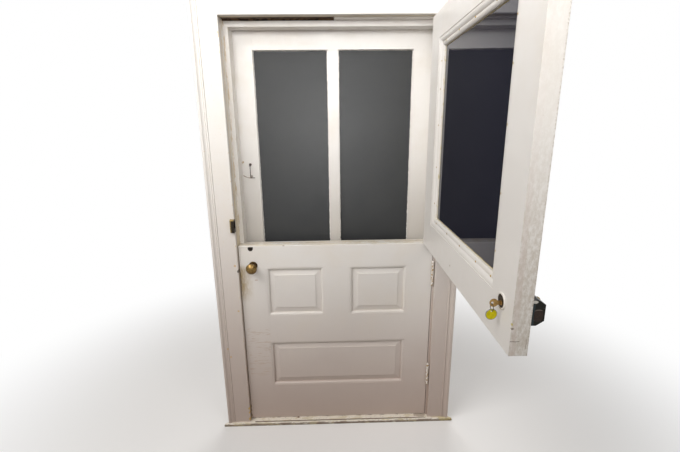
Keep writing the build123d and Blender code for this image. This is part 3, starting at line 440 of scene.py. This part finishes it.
# The reveal takes the whitest paint: painted light that makes up for the shade it stands in. Lower down it
# goes over to cream.
left_jamb_paint = paint(
    "left_jamb_paint", "z", rebate, chips=0.5, dirt=0.25,
    low_shade_and_soil=0.6, low_from=1750.0, low_to=1050.0, low_tone=CREAM, white=LIT_WHITE,
)
finish_node("left_jamb", left_jamb_paint)
# The right jamb goes darker towards the floor: painted shade, with some soiling.
finish_node("right_jamb", paint("right_jamb_paint", "z", right_marks, low_shade_and_soil=0.85, low_from=1650.0))


def bare_head(g):
    """The raw wood where the filler strip has broken off, under the head and on its stop's face."""
    area = g.times(g.inside(g.y, 17.0, 45.6, 0.5), g.ramp(g.z, 1944.0, 1943.0), g.ramp(g.z, 1933.0, 1934.0))
    return g.times(area, g.ramp(g.math("MULTIPLY_ADD", g.noise(5.0), 16.0, g.x), 14.0, 12.0))


def charred(g):
    """Black patches on that raw wood."""
    return g.times(bare_head(g), g.ramp(g.noise(13.0, 5.0, 0.75, (2.0, 1, 1)), 0.47, 0.58))


head_marks = [
    (stain("y", -1, 17, 1, 50, 0.7), YELLOWED, 0.8),
    (bare_head, RAW, 1.0),
    (charred, CHAR, 0.95),
]
head_marks += raw_side("z", HEAD_TOP, "x")
finish_node("head_jamb", paint("head_jamb_paint", "x", head_marks))
finish_node("head_filler_strip", paint("filler_paint", "x", [(stain("y", 0, 60, 2, 30, 0.1), WARM, 0.3)]))

stop_marks = [
    (flaking("x", -442, -437, 5, 0.42, 1.5, DOWN), TAN, 0.55),
    (flaking("x", -462, -454, 6, 0.50, 1.5, DOWN), (0.55, 0.41, 0.20), 0.65),
    (bare_head, RAW, 1.0),
    (charred, CHAR, 0.95),
]
finish_node("left_stop", paint("left_stop_paint", "z", stop_marks, chips=0.5, dirt=0.7))
finish_node("right_stop", paint("right_stop_paint", "z", [], chips=0.4))
head_stop_marks = [
    (bare_head, RAW, 1.0),
    (charred, CHAR, 0.95),
    (flaking("y", 96, 112, 30, 0.42, 2, (3, 1, 1)), (0.42, 0.33, 0.16), 0.6),
]
finish_node("head_stop", paint("head_stop_paint", "x", head_stop_marks, chips=0.4))

edge_losses = [
    (spot((-462, -12, z), (width, 30, height), 0.3, 5), CHIP, 0.95)
    for z, width, height in ((96, 8, 9), (72, 7, 8), (34, 8, 10))
]
casing_flecks = [
    (spot((x, y, z), (6, 20, height), 0.4, 4), FLECK, 0.8)
    for x, y, z, height in (
        (-474, -16, 881, 7), (-475, -16, 650, 6), (-543, -20, 448, 6), (-532, -20, 401, 6),
    )
]
casing_marks = [
    (spot((536, -24, 861), (7, 12, 6), 0.5, 4), (0.10, 0.07, 0.05), 0.9),
    (flaking("x", -465.0, -456, 9, 0.37, 1, (1, 1, 1.8)), CHIP, 0.9),
    *edge_losses,
    (spot((-461, -12, 853), (7, 30, 9), 0.3, 5), (0.06, 0.04, 0.025), 0.9),
    *casing_flecks,
    (specks(5.0, 0.70, 3.0), (0.62, 0.40, 0.16), 0.5),
    *raw_side("y", CASING_BACK, "z"),
]
# The casings go darker towards the floor: painted shade, with some soiling.
casing_z = paint(
    "casing_paint_upright", "z", casing_marks, low_shade_and_soil=0.8, low_from=1650.0, chips=0.45, dirt=0.7,
)
finish_node("left_casing", casing_z)
finish_node("right_casing", casing_z)
finish_node("head_casing", paint("casing_paint_across", "x", raw_side("y", CASING_BACK, "x"), chips=0.3))


def threshold_crack(g):
    """The crack across the threshold near its right end."""
    wobble = g.math("MULTIPLY_ADD", g.noise(14.0, 3.0), 16.0, -8.0)
    line = g.math("ABSOLUTE", g.math("SUBTRACT", g.math("ADD", g.x, wobble), 358.0))
    return g.times(g.ramp(line, 0.8, 2.2, 1.0, 0.0), g.inside(g.y, -40, 12, 3))


threshold_marks = [
    # These two darken the nose in patches, most low down: partly dirt, partly painted shade on its shaded
    # front.
    (flaking("y", -40, -33, 10, 0.50, 1.5, ALONG_SILL), (0.20, 0.14, 0.09), 0.7),
    (flaking("z", -1, 9, 16, 0.60, 3, ALONG_SILL), (0.17, 0.12, 0.08), 0.8),
    (spot((560, -22, 14), (52, 30, 16), 0.4, 16), (0.52, 0.42, 0.17), 0.65),
    (spot((-560, -16, 3), (34, 30, 10), 0.5, 16), (0.34, 0.26, 0.16), 0.5),
    (specks(3.0, 0.64, 2.0, (2.5, 1, 1)), SILL_SPECK, 0.8),
    (specks(16.0, 0.56, 5.0, (3, 1, 1)), SILL_COAT, 0.6),
    (threshold_crack, (0.05, 0.035, 0.022), 0.95),
]
strip_marks = [
    (specks(3.0, 0.64, 4.0, (2.5, 1, 1)), SILL_SPECK, 0.8),
    (specks(16.0, 0.56, 1.0, (3, 1, 1)), SILL_COAT, 0.6),
    (flaking("y", -1, 4, 9, 0.45, 2, ALONG_SILL, 7.0), (0.13, 0.09, 0.05), 0.85),
    # A dark line along the strip's front edge: painted shadow under that edge.
    (flaking("y", -29, -25, 12, 0.66, 0.8, ALONG_SILL), (0.14, 0.09, 0.055), 0.9),
    (spot((-213, -4, 20), (12, 9, 6), 0.5, 5), (0.30, 0.17, 0.08), 0.6),
    (spot((430, -6, 18), (40, 22, 10), 0.5, 9), (0.24, 0.17, 0.11), 0.6),
]
trodden = {"dirt": 1.3, "chips": 0.7, "white": SILL_WHITE}
finish_node("threshold", paint("threshold_paint", "x", threshold_marks, **trodden))
finish_node("saddle_strip", paint("strip_paint", "x", strip_marks, **trodden))

# The open upper leaf. Its marks are given on the shut leaf, x from the hinges and y through the thickness.


def on_free_edge(g):
    """1 on the narrow face of the lock stile."""
    return g.ramp(g.x, 1.2 - LEAF_HALF, 0.4 - LEAF_HALF)


def joint_line(g):
    """The open joint across the free edge, 38 mm above the leaf's bottom, on the outer half."""
    wobble = g.math("MULTIPLY_ADD", g.noise(9.0), 3.0, -1.5)
    line = g.math("ABSOLUTE", g.math("SUBTRACT", g.math("ADD", g.z, wobble), 1012.5))
    area = g.times(on_free_edge(g), g.ramp(g.y, 20.0, 24.0))
    return g.times(g.ramp(line, 0.5, 1.5, 1.0, 0.0), area)


def edge_crack(g):
    """A short upright crack low on the free edge."""
    wobble = g.math("MULTIPLY_ADD", g.noise(12.0), 4.0, -2.0)
    line = g.math("ABSOLUTE", g.math("SUBTRACT", g.math("ADD", g.y, wobble), 6.0))
    area = g.times(on_free_edge(g), g.inside(g.z, 994, 1017, 3))
    return g.times(g.ramp(line, 0.4, 1.1, 1.0, 0.0), area)


def handled(g):
    """1 on the lower part of the free edge, where hands reach it, and little further up."""
    return g.times(on_free_edge(g), g.ramp(g.z, 1560.0, 1120.0, 0.2, 1.0))


def hand_dirt(g):
    """Hand dirt on the free edge."""
    return g.times(handled(g), g.ramp(g.noise(9.0, 6.0, 0.8, (1, 1, 2)), 0.34, 0.62))


def pink_stripe(g):
    """An older coat that shows through along the outer side of the free edge."""
    return g.times(handled(g), g.inside(g.math("MULTIPLY_ADD", g.noise(20.0, 3.0), 8.0, g.y), 36.0, 44.0, 5))


def edge_chips(g):
    """Chips along the room-side corner of the free edge."""
    near = g.times(g.ramp(g.x, -454.0, -456.5), g.ramp(g.y, 4.5, 1.0))
    return g.times(near, g.ramp(g.noise(3.2, 3.0, 0.6, shift=6.0), 0.50, 0.58))


open_marks = [
    (hand_dirt, (0.52, 0.46, 0.38), 0.75),
    (pink_stripe, (0.62, 0.52, 0.47), 0.35),
    (edge_chips, (0.30, 0.23, 0.15), 0.6),
    (joint_line, (0.20, 0.15, 0.11), 0.8),
    (edge_crack, (0.26, 0.20, 0.15), 0.6),
    (spot((-457, 44, 1057), (6, 3, 4), 0.4, 3), (0.55, 0.46, 0.10), 0.85),
    (spot((-457, 42, 1046), (6, 4, 3), 0.4, 3), (0.16, 0.12, 0.08), 0.8),
    (spot((32.7, 45, 1019), (5, 5, 4), 0.4, 3), (0.30, 0.22, 0.12), 0.7),
]


def from_edge(g, axis, middle, half):
    """How far a point is inside the edges of an opening along one axis."""
    return g.math("SUBTRACT", half, g.math("ABSOLUTE", g.math("SUBTRACT", axis, middle)))


def torn_edge(g, near, size, swing, reach):
    """Ragged paint near an edge. It comes `reach` millimetres in where the noise is 0, less elsewhere."""
    ragged = g.math("MULTIPLY_ADD", g.noise(size, 4.0, 0.7), swing, reach)
    return g.ramp(g.math("SUBTRACT", near, ragged), 0.0, -0.8)


# The open leaf's paint is whitest at its top and goes over to plain white lower down: painted light on its
# top.
painted_light_above = {"low_shade_and_soil": 1.0, "low_from": 1950.0, "low_to": 1200.0, "low_tone": WHITE, "white": LIT_WHITE}
open_z = paint("open_leaf_paint_upright", "z", open_marks, leaf_open=True, chips=0.5, **painted_light_above)
open_x = paint("open_leaf_paint_across", "x", open_marks, leaf_open=True, chips=0.5, **painted_light_above)
finish_node("upper_lock_stile", open_z)
finish_node("upper_hinge_stile", open_z)
finish_node("upper_bottom_rail", open_x)
finish_node("upper_top_rail", open_x)
bead_marks = [(flaking("y", 20, 31, 10, 0.42, 2), (0.56, 0.45, 0.16), 0.6)]
finish_node("glazing_beads", paint("bead_paint", "x", bead_marks, leaf_open=True, chips=0.6))
ring_marks = [(spot((-396, 46, 1067), (16, 9, 6)), SMUDGE, 0.8)]
finish_node("cylinder_ring", paint("ring_paint", "z", ring_marks, leaf_open=True))

# The screen door


def ragged_pane_edges(g):
    """Old paint torn off along the screens' edges."""
    near_left, near_right = (from_edge(g, g.x, middle, half) for middle, half in SCREEN_PANES)
    up = from_edge(g, g.z, SCREEN_MIDDLE_Z, SCREEN_HALF_H)
    near = g.math("MINIMUM", g.most(near_left, near_right), up)
    return torn_edge(g, near, 6.0, -12.0, 9.0)


screen_marks = [
    (hook_scratch, (0.20, 0.10, 0.035), 0.95),
    (spot((-397, 110, 1337), (8, 5, 7), 0.3, 4), (0.05, 0.018, 0.012), 0.9),
    (spot((-394, 110, 1282), (7, 5, 6), 0.4, 4), (0.14, 0.07, 0.03), 0.7),
    (spot((-431, 110, 1349), (7, 6, 5), 0.5, 4), (0.45, 0.30, 0.12), 0.7),
]
# The screen door's paint goes from the whitest at its top to grey lower down: painted light above and painted
# shade below.
painted_shade_below = {"low_shade_and_soil": 0.8, "low_from": 1650.0, "low_to": 1000.0, "low_tone": SHADED_WHITE, "white": LIT_WHITE}
screen_z = paint("screen_door_paint_upright", "z", screen_marks, chips=0.4, **painted_shade_below)
screen_x = paint("screen_door_paint_across", "x", [], chips=0.4, **painted_shade_below)
for node in ("screen_left_stile", "screen_right_stile", "screen_mullion"):
    finish_node(node, screen_z)
for node in ("screen_top_rail", "screen_bottom_rail"):
    finish_node(node, screen_x)


def screen_mesh():
    """Dark woven insect screen, its wires 1.2 mm apart, with torn paint along the frame."""
    g = Graph("insect_screen")
    pitch = 1.2

    def wires(axis):
        wave = g.math("SINE", g.math("MULTIPLY", axis, math.pi / pitch))
        return g.ramp(g.math("ABSOLUTE", wave), 0.36, 0.44)

    across, up = wires(g.x), wires(g.z)
    wire = g.math("SUBTRACT", 1.0, g.times(g.math("SUBTRACT", 1.0, across), g.math("SUBTRACT", 1.0, up)))
    cloth = g.mix(g.noise(90.0, 3.0), (0.018, 0.02, 0.022), (0.035, 0.036, 0.036))
    torn = ragged_pane_edges(g)
    color = g.mix(torn, cloth, WHITE)
    shader = g.add("BsdfPrincipled", {"Base Color": color, "Roughness": 0.6})
    bump = g.add("Bump", {"Height": wire, "Distance": 0.3 * MM, "Strength": 0.6})
    g.put(shader.inputs["Normal"], bump.outputs["Normal"])
    clear = g.add("BsdfTransparent")
    solid = g.most(wire, torn)
    blend = g.add("MixShader", {0: solid, 1: clear.outputs[0], 2: shader.outputs[0]})
    g.put(g.output.inputs["Surface"], blend.outputs[0])
    return g.material


finish_node("screen_meshes", screen_mesh())


def window_glass():
    """Old glass, a little wavy, with yellowed, ragged paint along its edge. It is coloured near-black and
    made almost opaque: painted shade for the dark seen through it.
    """
    g = Graph("window_glass", leaf_open=True)
    along = from_edge(g, g.x, 0.0, PANE_HALF[0])
    up = from_edge(g, g.z, PANE_MIDDLE_Z, PANE_HALF[1])
    torn = torn_edge(g, g.math("MINIMUM", along, up), 7.0, -9.0, 7.5)
    # Near-black colour: painted shade standing in for the dark seen through the pane.
    tone = g.mix(g.noise(300.0, 3.0), (0.010, 0.010, 0.020), (0.016, 0.016, 0.028))
    color = g.mix(torn, tone, (0.50, 0.42, 0.22))
    rough = g.ramp(torn, 0.0, 1.0, 0.03, 0.6)
    wave = g.noise(120.0, 2.0)
    surface = {"Base Color": color, "Roughness": rough, "IOR": 1.5, "Specular Tint": (0.74, 0.78, 1.0)}
    shader = g.add("BsdfPrincipled", surface)
    bump = g.add("Bump", {"Height": wave, "Distance": 0.4 * MM, "Strength": 0.4})
    g.put(shader.inputs["Normal"], bump.outputs["Normal"])
    clear = g.add("BsdfTransparent")
    # Almost opaque, so the painted shade shows in place of what lies behind the pane.
    solid = g.ramp(torn, 0.0, 1.0, 0.965, 1.0)
    blend = g.add("MixShader", {0: solid, 1: clear.outputs[0], 2: shader.outputs[0]})
    g.put(g.output.inputs["Surface"], blend.outputs[0])
    return g.material


finish_node("window_glass", window_glass())

# Metal parts


def strike_rim(g):
    """Brass that shows where the strike's finish has worn off its left and upper sides."""
    worn = g.most(g.ramp(g.x, -472.5, -475.0), g.ramp(g.z, 1098.0, 1101.0))
    return g.times(worn, g.ramp(g.noise(6.0, 4.0), 0.3, 0.5))


def bolt_arch(g):
    """The thin bright line round the top of the worn patch on the bolt's end."""
    across = g.math("DIVIDE", g.math("SUBTRACT", g.y, -17.0), 26.0)
    line = g.math("MULTIPLY_ADD", g.times(across, across), -14.0, 1091.0)
    return g.ramp(g.math("ABSOLUTE", g.math("SUBTRACT", g.z, line)), 0.5, 1.2, 1.0, 0.0)


def case_rim(g):
    """The paler strip where the lock case meets the leaf."""
    strip = g.times(g.ramp(g.y, -8.5, -7.0), g.ramp(g.z, 1107.0, 1103.0))
    return g.times(g.ramp(g.x, -452.0, -452.8), strip)


knob_metal = metal("tarnished_brass", (0.22, 0.14, 0.05), (0.09, 0.058, 0.024), rough=0.28, dirt=0.6)
bright_brass = metal("worn_brass", (0.52, 0.36, 0.12), (0.30, 0.19, 0.07), rough=0.30)
key_metal = metal("key_brass", (0.42, 0.27, 0.10), (0.26, 0.165, 0.07), rough=0.34, leaf_open=True)
cylinder_metal = metal("cylinder_brass", (0.07, 0.05, 0.03), (0.022, 0.016, 0.011), rough=0.4, leaf_open=True)
turn_brass = metal(
    "turn_brass", (0.26, 0.17, 0.025), (0.13, 0.085, 0.02), metallic=0.5, rough=0.55, leaf_open=True,
)
old_steel = metal("dull_steel", (0.30, 0.29, 0.27), (0.16, 0.15, 0.14), rough=0.4)
dark_steel = metal("dark_steel", (0.055, 0.052, 0.05), (0.02, 0.019, 0.018), rough=0.4)
iron = metal(
    "japanned_iron", (0.012, 0.011, 0.006), (0.003, 0.003, 0.003), metallic=0.0, rough=0.34, rubbed=0.05,
    leaf_open=True, shine=0.15,
    marks=[
        (case_rim, (0.035, 0.05, 0.055), 0.8),
        # A pale spot on the case's top corner by the leaf: a painted highlight where the metal catches the
        # light.
        (spot((-453, -6, 1111), (6, 9, 4.5), 0.2, 4), (0.72, 0.70, 0.64), 0.85),
    ],
)
rim_brown = metal(
    "browned_bolt", (0.024, 0.011, 0.005), (0.010, 0.006, 0.004), metallic=0.2, rough=0.45, dirt=0.3,
    rubbed=0.1, leaf_open=True, shine=0.3, marks=[(bolt_arch, (0.26, 0.22, 0.19), 0.5)],
)
strike_iron = metal(
    "strike_iron", (0.030, 0.022, 0.014), (0.010, 0.008, 0.006), metallic=0.5, rough=0.4, rubbed=0.1,
    shine=0.3, marks=[(strike_rim, (0.32, 0.23, 0.09), 0.9)],
)
hook_steel = metal(
    "hook_steel", (0.030, 0.009, 0.006), (0.012, 0.004, 0.003), metallic=0.0, rough=0.55, rubbed=0.05,
    shine=0.15,
)
painted_metal = metal(
    "painted_hinges", (0.50, 0.33, 0.13), (0.26, 0.16, 0.07), metallic=0.1, rough=0.4, paint_on=0.95,
)
for node in ("inside_knob", "outside_knob"):
    finish_node(node, knob_metal)
finish_node("knob_rosettes", metal("rosette_brass", (0.06, 0.036, 0.014), (0.02, 0.013, 0.007), rough=0.4))
finish_node("latch_strike", bright_brass)
finish_node("door_key", key_metal)
finish_node("lock_cylinder", cylinder_metal)
for node in ("knob_spindle", "latch_case", "latch_bolt"):
    finish_node(node, old_steel)
finish_node("rim_bolt", rim_brown)
finish_node("key_ring", dark_steel)
finish_node("screen_hook", hook_steel)
finish_node("screen_hook_eye", hook_steel)
finish_node("hook_catch_eye", painted_metal)
finish_node("rim_lock_case", iron)
finish_node("thumb_turn", turn_brass)
finish_node("rim_strike", strike_iron)
for node in (
    "frame_hinge_leaves", "hinge_pins", "frame_hinge_screws",
    "lower_leaf_hinges", "upper_leaf_hinges", "screen_hinge_leaves",
):
    finish_node(node, painted_metal)


def tag_face():
    """Yellow card, a little rubbed."""
    g = Graph("tag_card", leaf_open=True)
    color = g.mix(g.ramp(g.noise(7.0, 4.0), 0.4, 0.7), (0.66, 0.58, 0.003), (0.54, 0.46, 0.005))
    color = g.mix(g.times(g.edge(0.8), 0.4), color, (0.45, 0.36, 0.05))
    return g.finish(color, 0.6, g.noise(0.8), 0.05, **{"Specular IOR Level": 0.2})


finish_node("key_tag", tag_face())

# Small fastenings and trim, each a mesh of its own that rides on the body it is fixed to


def turned(bm, profile, place, axis, steps=20):
    """Adds a turned form. The profile is (height, radius) in millimetres along the axis."""
    axis = Vector(axis).normalized()
    side = axis.orthogonal().normalized()
    other = axis.cross(side)
    angles = [2 * math.pi * i / steps for i in range(steps)]
    rings = []
    for height, radius in profile:
        centre = Vector(place) + axis * height * MM
        around = angles if radius else [0.0]
        rings.append([
            bm.verts.new(centre + (side * math.cos(a) + other * math.sin(a)) * radius * MM) for a in around
        ])
    for low, high in zip(rings, rings[1:]):
        for i in range(steps):
            j = (i + 1) % steps
            corners = [low[i % len(low)], low[j % len(low)], high[j % len(high)], high[i % len(high)]]
            bm.faces.new(list(dict.fromkeys(corners)))


def slotted_head(bm, place, axis, radius=4.0, slot=1.0, rise=0.4):
    """Adds a flat screw head: a low disc with two half heads on it, the slot between them."""
    axis = Vector(axis).normalized()
    side = axis.orthogonal().normalized()
    other = axis.cross(side)
    turned(bm, [(-0.8, 0), (-0.8, radius), (rise - 0.7, radius), (rise - 0.7, 0)], place, axis)
    start = math.asin(slot / 2 / radius)
    steps = 12
    for sign in (-1, 1):
        rims = []
        for height, r in ((rise - 0.8, radius), (rise - 0.15, radius), (rise, radius - 0.2)):
            rim = []
            for k in range(steps + 1):
                a = start + (math.pi - 2 * start) * k / steps
                flat = side * math.cos(a) * r + other * sign * max(math.sin(a) * r, slot / 2)
                rim.append(bm.verts.new(Vector(place) + (flat + axis * height) * MM))
            rims.append(rim)
        bm.faces.new(rims[0])
        bm.faces.new(rims[-1])
        for low, high in zip(rims, rims[1:]):
            for k in range(steps + 1):
                j = (k + 1) % (steps + 1)
                bm.faces.new((low[k], low[j], high[j], high[k]))


def piece(name, bm, material, body, smooth=False):
    """Makes an object from the mesh, riding on its body."""
    mesh = bpy.data.meshes.new(name)
    bmesh.ops.recalc_face_normals(bm, faces=bm.faces)
    bm.to_mesh(mesh)
    bm.free()
    mesh.materials.append(material)
    for polygon in mesh.polygons:
        polygon.use_smooth = smooth
    thing = bpy.data.objects.new(name, mesh)
    bpy.context.collection.objects.link(thing)
    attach(thing, body)


def glazing_nails():
    """Small brass heads, about 150 mm apart along the glazing beads."""
    bm = bmesh.new()
    head = [(-2.0, 0), (-2.0, 1.4), (0.0, 3.1), (0.7, 2.9), (1.4, 1.7), (1.6, 0)]
    places = [(x, z) for z in (1114.0, 1808.5) for x in (-300, -186, -33, 118, 273)]
    places += [(x, z) for x in (-315.7, 315.7) for z in (1190, 1340, 1506, 1642, 1744)]
    for x, z in places:
        place = opened(x, 37.0, z)
        outwards = opened(x, 47.0, z) - place
        turned(bm, head, place, outwards, 14)
    piece("glazing_nails", bm, nail_brass, "upper_leaf", smooth=True)


def leaf_screws(name, body, heights, is_open):
    """Painted screw heads in the leaf's halves of its two hinges."""
    bm = bmesh.new()
    rows = 4
    for z in heights:
        for row in range(rows):
            level = z - HINGE_L / 2 + HINGE_L * (row + 0.5) / rows
            y = 7.45 if row % 2 else 24.0
            if is_open:
                place = opened(LEAF_HALF, y, level)
                axis = opened(LEAF_HALF + 10, y, level) - place
            else:
                place = Vector((LEAF_HALF, y, level)) * MM
                axis = (1, 0, 0)
            slotted_head(bm, place, axis)
    piece(name, bm, painted_metal, body)


def tag_rim():
    """The thin metal ring that holds the tag's card."""
    bm = bmesh.new()
    loop = [(-1.2, 13.2), (-1.2, 14.1), (-0.7, 14.6), (0.7, 14.6), (1.2, 14.1), (1.2, 13.2), (-1.2, 13.2)]
    turned(bm, loop, Vector(TAG_MIDDLE) * MM, (0, 1, 0), 48)
    bmesh.ops.remove_doubles(bm, verts=bm.verts, dist=1e-7)
    piece("tag_rim", bm, rim_steel, "tag")


def saddle_nail():
    """The rusty nail that holds the loose strip."""
    bm = bmesh.new()
    profile = [(-3.0, 0), (-3.0, 2.0), (-0.2, 3.6), (0.5, 3.4), (0.9, 2.2), (1.0, 0)]
    turned(bm, profile, Vector(NAIL_IN_STRIP) * MM, (0, 0, 1), 16)
    piece("saddle_nail", bm, rust, "frame", smooth=True)


nail_brass = metal("nail_brass", (0.55, 0.38, 0.09), (0.34, 0.22, 0.07), rough=0.35, leaf_open=True)
rim_steel = metal("rim_steel", (0.30, 0.29, 0.26), (0.14, 0.13, 0.12), rough=0.3)
rust = metal("rusty_iron", (0.11, 0.05, 0.022), (0.04, 0.02, 0.012), metallic=0.2, rough=0.7)
glazing_nails()
leaf_screws("lower_leaf_screws", "lower_leaf", (268.0, 820.0), False)
leaf_screws("upper_leaf_screws", "upper_leaf", (1125.0, 1780.0), True)
tag_rim()
saddle_nail()

# Floor, light and camera


def seen_rays(tree):
    """1 for rays that come from the camera, a mirror or glass, 0 for those that carry light."""
    path = tree.nodes.new("ShaderNodeLightPath")
    result = path.outputs["Is Camera Ray"]
    for name in ("Is Glossy Ray", "Is Transmission Ray"):
        either = tree.nodes.new("ShaderNodeMath")
        either.operation = "MAXIMUM"
        tree.links.new(result, either.inputs[0])
        tree.links.new(path.outputs[name], either.inputs[1])
        result = either.outputs[0]
    return result


def make_floor():
    """A pale floor under the door that goes over to white further out."""
    mesh = bpy.data.meshes.new("floor")
    r, z = 9.0, -0.0005
    mesh.from_pydata([(-r, -r, z), (r, -r, z), (r, r, z), (-r, r, z)], [], [(0, 1, 2, 3)])
    floor = bpy.data.objects.new("floor", mesh)
    bpy.context.collection.objects.link(floor)
    g = Graph("floor")
    seen = seen_rays(g.tree)
    color = g.mix(seen, (0.42, 0.38, 0.35), (0.86, 0.85, 0.84))
    shader = g.add("BsdfPrincipled", {"Base Color": color, "Roughness": 0.8})
    white = g.add("Emission", {"Color": (1, 1, 1), "Strength": 1.0})
    away = g.vector("MULTIPLY", g.place, (1, 1, 0))
    far = g.times(g.ramp(g.length(away), 900.0, 2400.0), seen)
    blend = g.add("MixShader", {0: far, 1: shader.outputs[0], 2: white.outputs[0]})
    g.put(g.output.inputs["Surface"], blend.outputs[0])
    mesh.materials.append(g.material)


def make_world(strength):
    """Even soft light, and a white backdrop for the rays that are seen."""
    world = bpy.data.worlds.new("studio")
    bpy.context.scene.world = world
    world.use_nodes = True
    tree = world.node_tree
    tree.nodes.clear()
    output = tree.nodes.new("ShaderNodeOutputWorld")
    light = tree.nodes.new("ShaderNodeBackground")
    light.inputs["Color"].default_value = (1.0, 0.985, 0.965, 1)
    light.inputs["Strength"].default_value = strength
    white = tree.nodes.new("ShaderNodeBackground")
    white.inputs["Color"].default_value = (1, 1, 1, 1)
    blend = tree.nodes.new("ShaderNodeMixShader")
    tree.links.new(seen_rays(tree), blend.inputs[0])
    tree.links.new(light.outputs[0], blend.inputs[1])
    tree.links.new(white.outputs[0], blend.inputs[2])
    tree.links.new(blend.outputs[0], output.inputs["Surface"])


def area_light(name, place, target, size, power, spread=180):
    """A soft lamp that points at a target. Places and size are in metres, the power in watts."""
    data = bpy.data.lights.new(name, "AREA")
    data.shape = "RECTANGLE"
    data.size, data.size_y = size
    data.energy = power
    data.spread = math.radians(spread)
    data.color = (1.0, 0.98, 0.96)
    lamp = bpy.data.objects.new(name, data)
    bpy.context.collection.objects.link(lamp)
    lamp.location = place
    lamp.rotation_euler = (Vector(target) - Vector(place)).to_track_quat("-Z", "Y").to_euler()


make_floor()
make_world(0.17)
area_light("high_soft_lamp", (-1.7, -1.5, 3.2), (0.1, -0.2, 1.15), (2.0, 1.8), 66)
area_light("right_soft_lamp", (1.35, -1.6, 3.2), (-0.1, 0.0, 1.2), (1.6, 1.6), 24)
area_light("front_soft_lamp", (-0.3, -2.3, 2.4), (0.0, 0.0, 2.05), (1.6, 0.8), 10, 90)
area_light("back_soft_lamp", (0.5, 2.4, 2.7), (0.0, 0.1, 1.0), (2.0, 1.6), 42)


def make_camera():
    """The photograph's camera: place in metres, then turned, tipped down and rolled by these degrees."""
    yaw, down, roll = (math.radians(a) for a in (1.2345, 14.5745, -0.6503))
    forward = Vector((math.sin(yaw) * math.cos(down), math.cos(yaw) * math.cos(down), -math.sin(down)))
    level = Vector((math.cos(yaw), -math.sin(yaw), 0))
    up = level.cross(forward)
    side = level * math.cos(roll) + up * math.sin(roll)
    top = up * math.cos(roll) - level * math.sin(roll)
    data = bpy.data.cameras.new("camera")
    data.lens = 20.24
    data.sensor_width = 36.0
    data.clip_start = 0.02
    camera = bpy.data.objects.new("camera", data)
    bpy.context.collection.objects.link(camera)
    turn = Matrix((side, top, -forward)).transposed()
    camera.matrix_world = Matrix.Translation((-0.01821, -1.71176, 1.50521)) @ turn.to_4x4()
    bpy.context.scene.camera = camera


make_camera()
bpy.context.scene.view_settings.view_transform = "Standard"
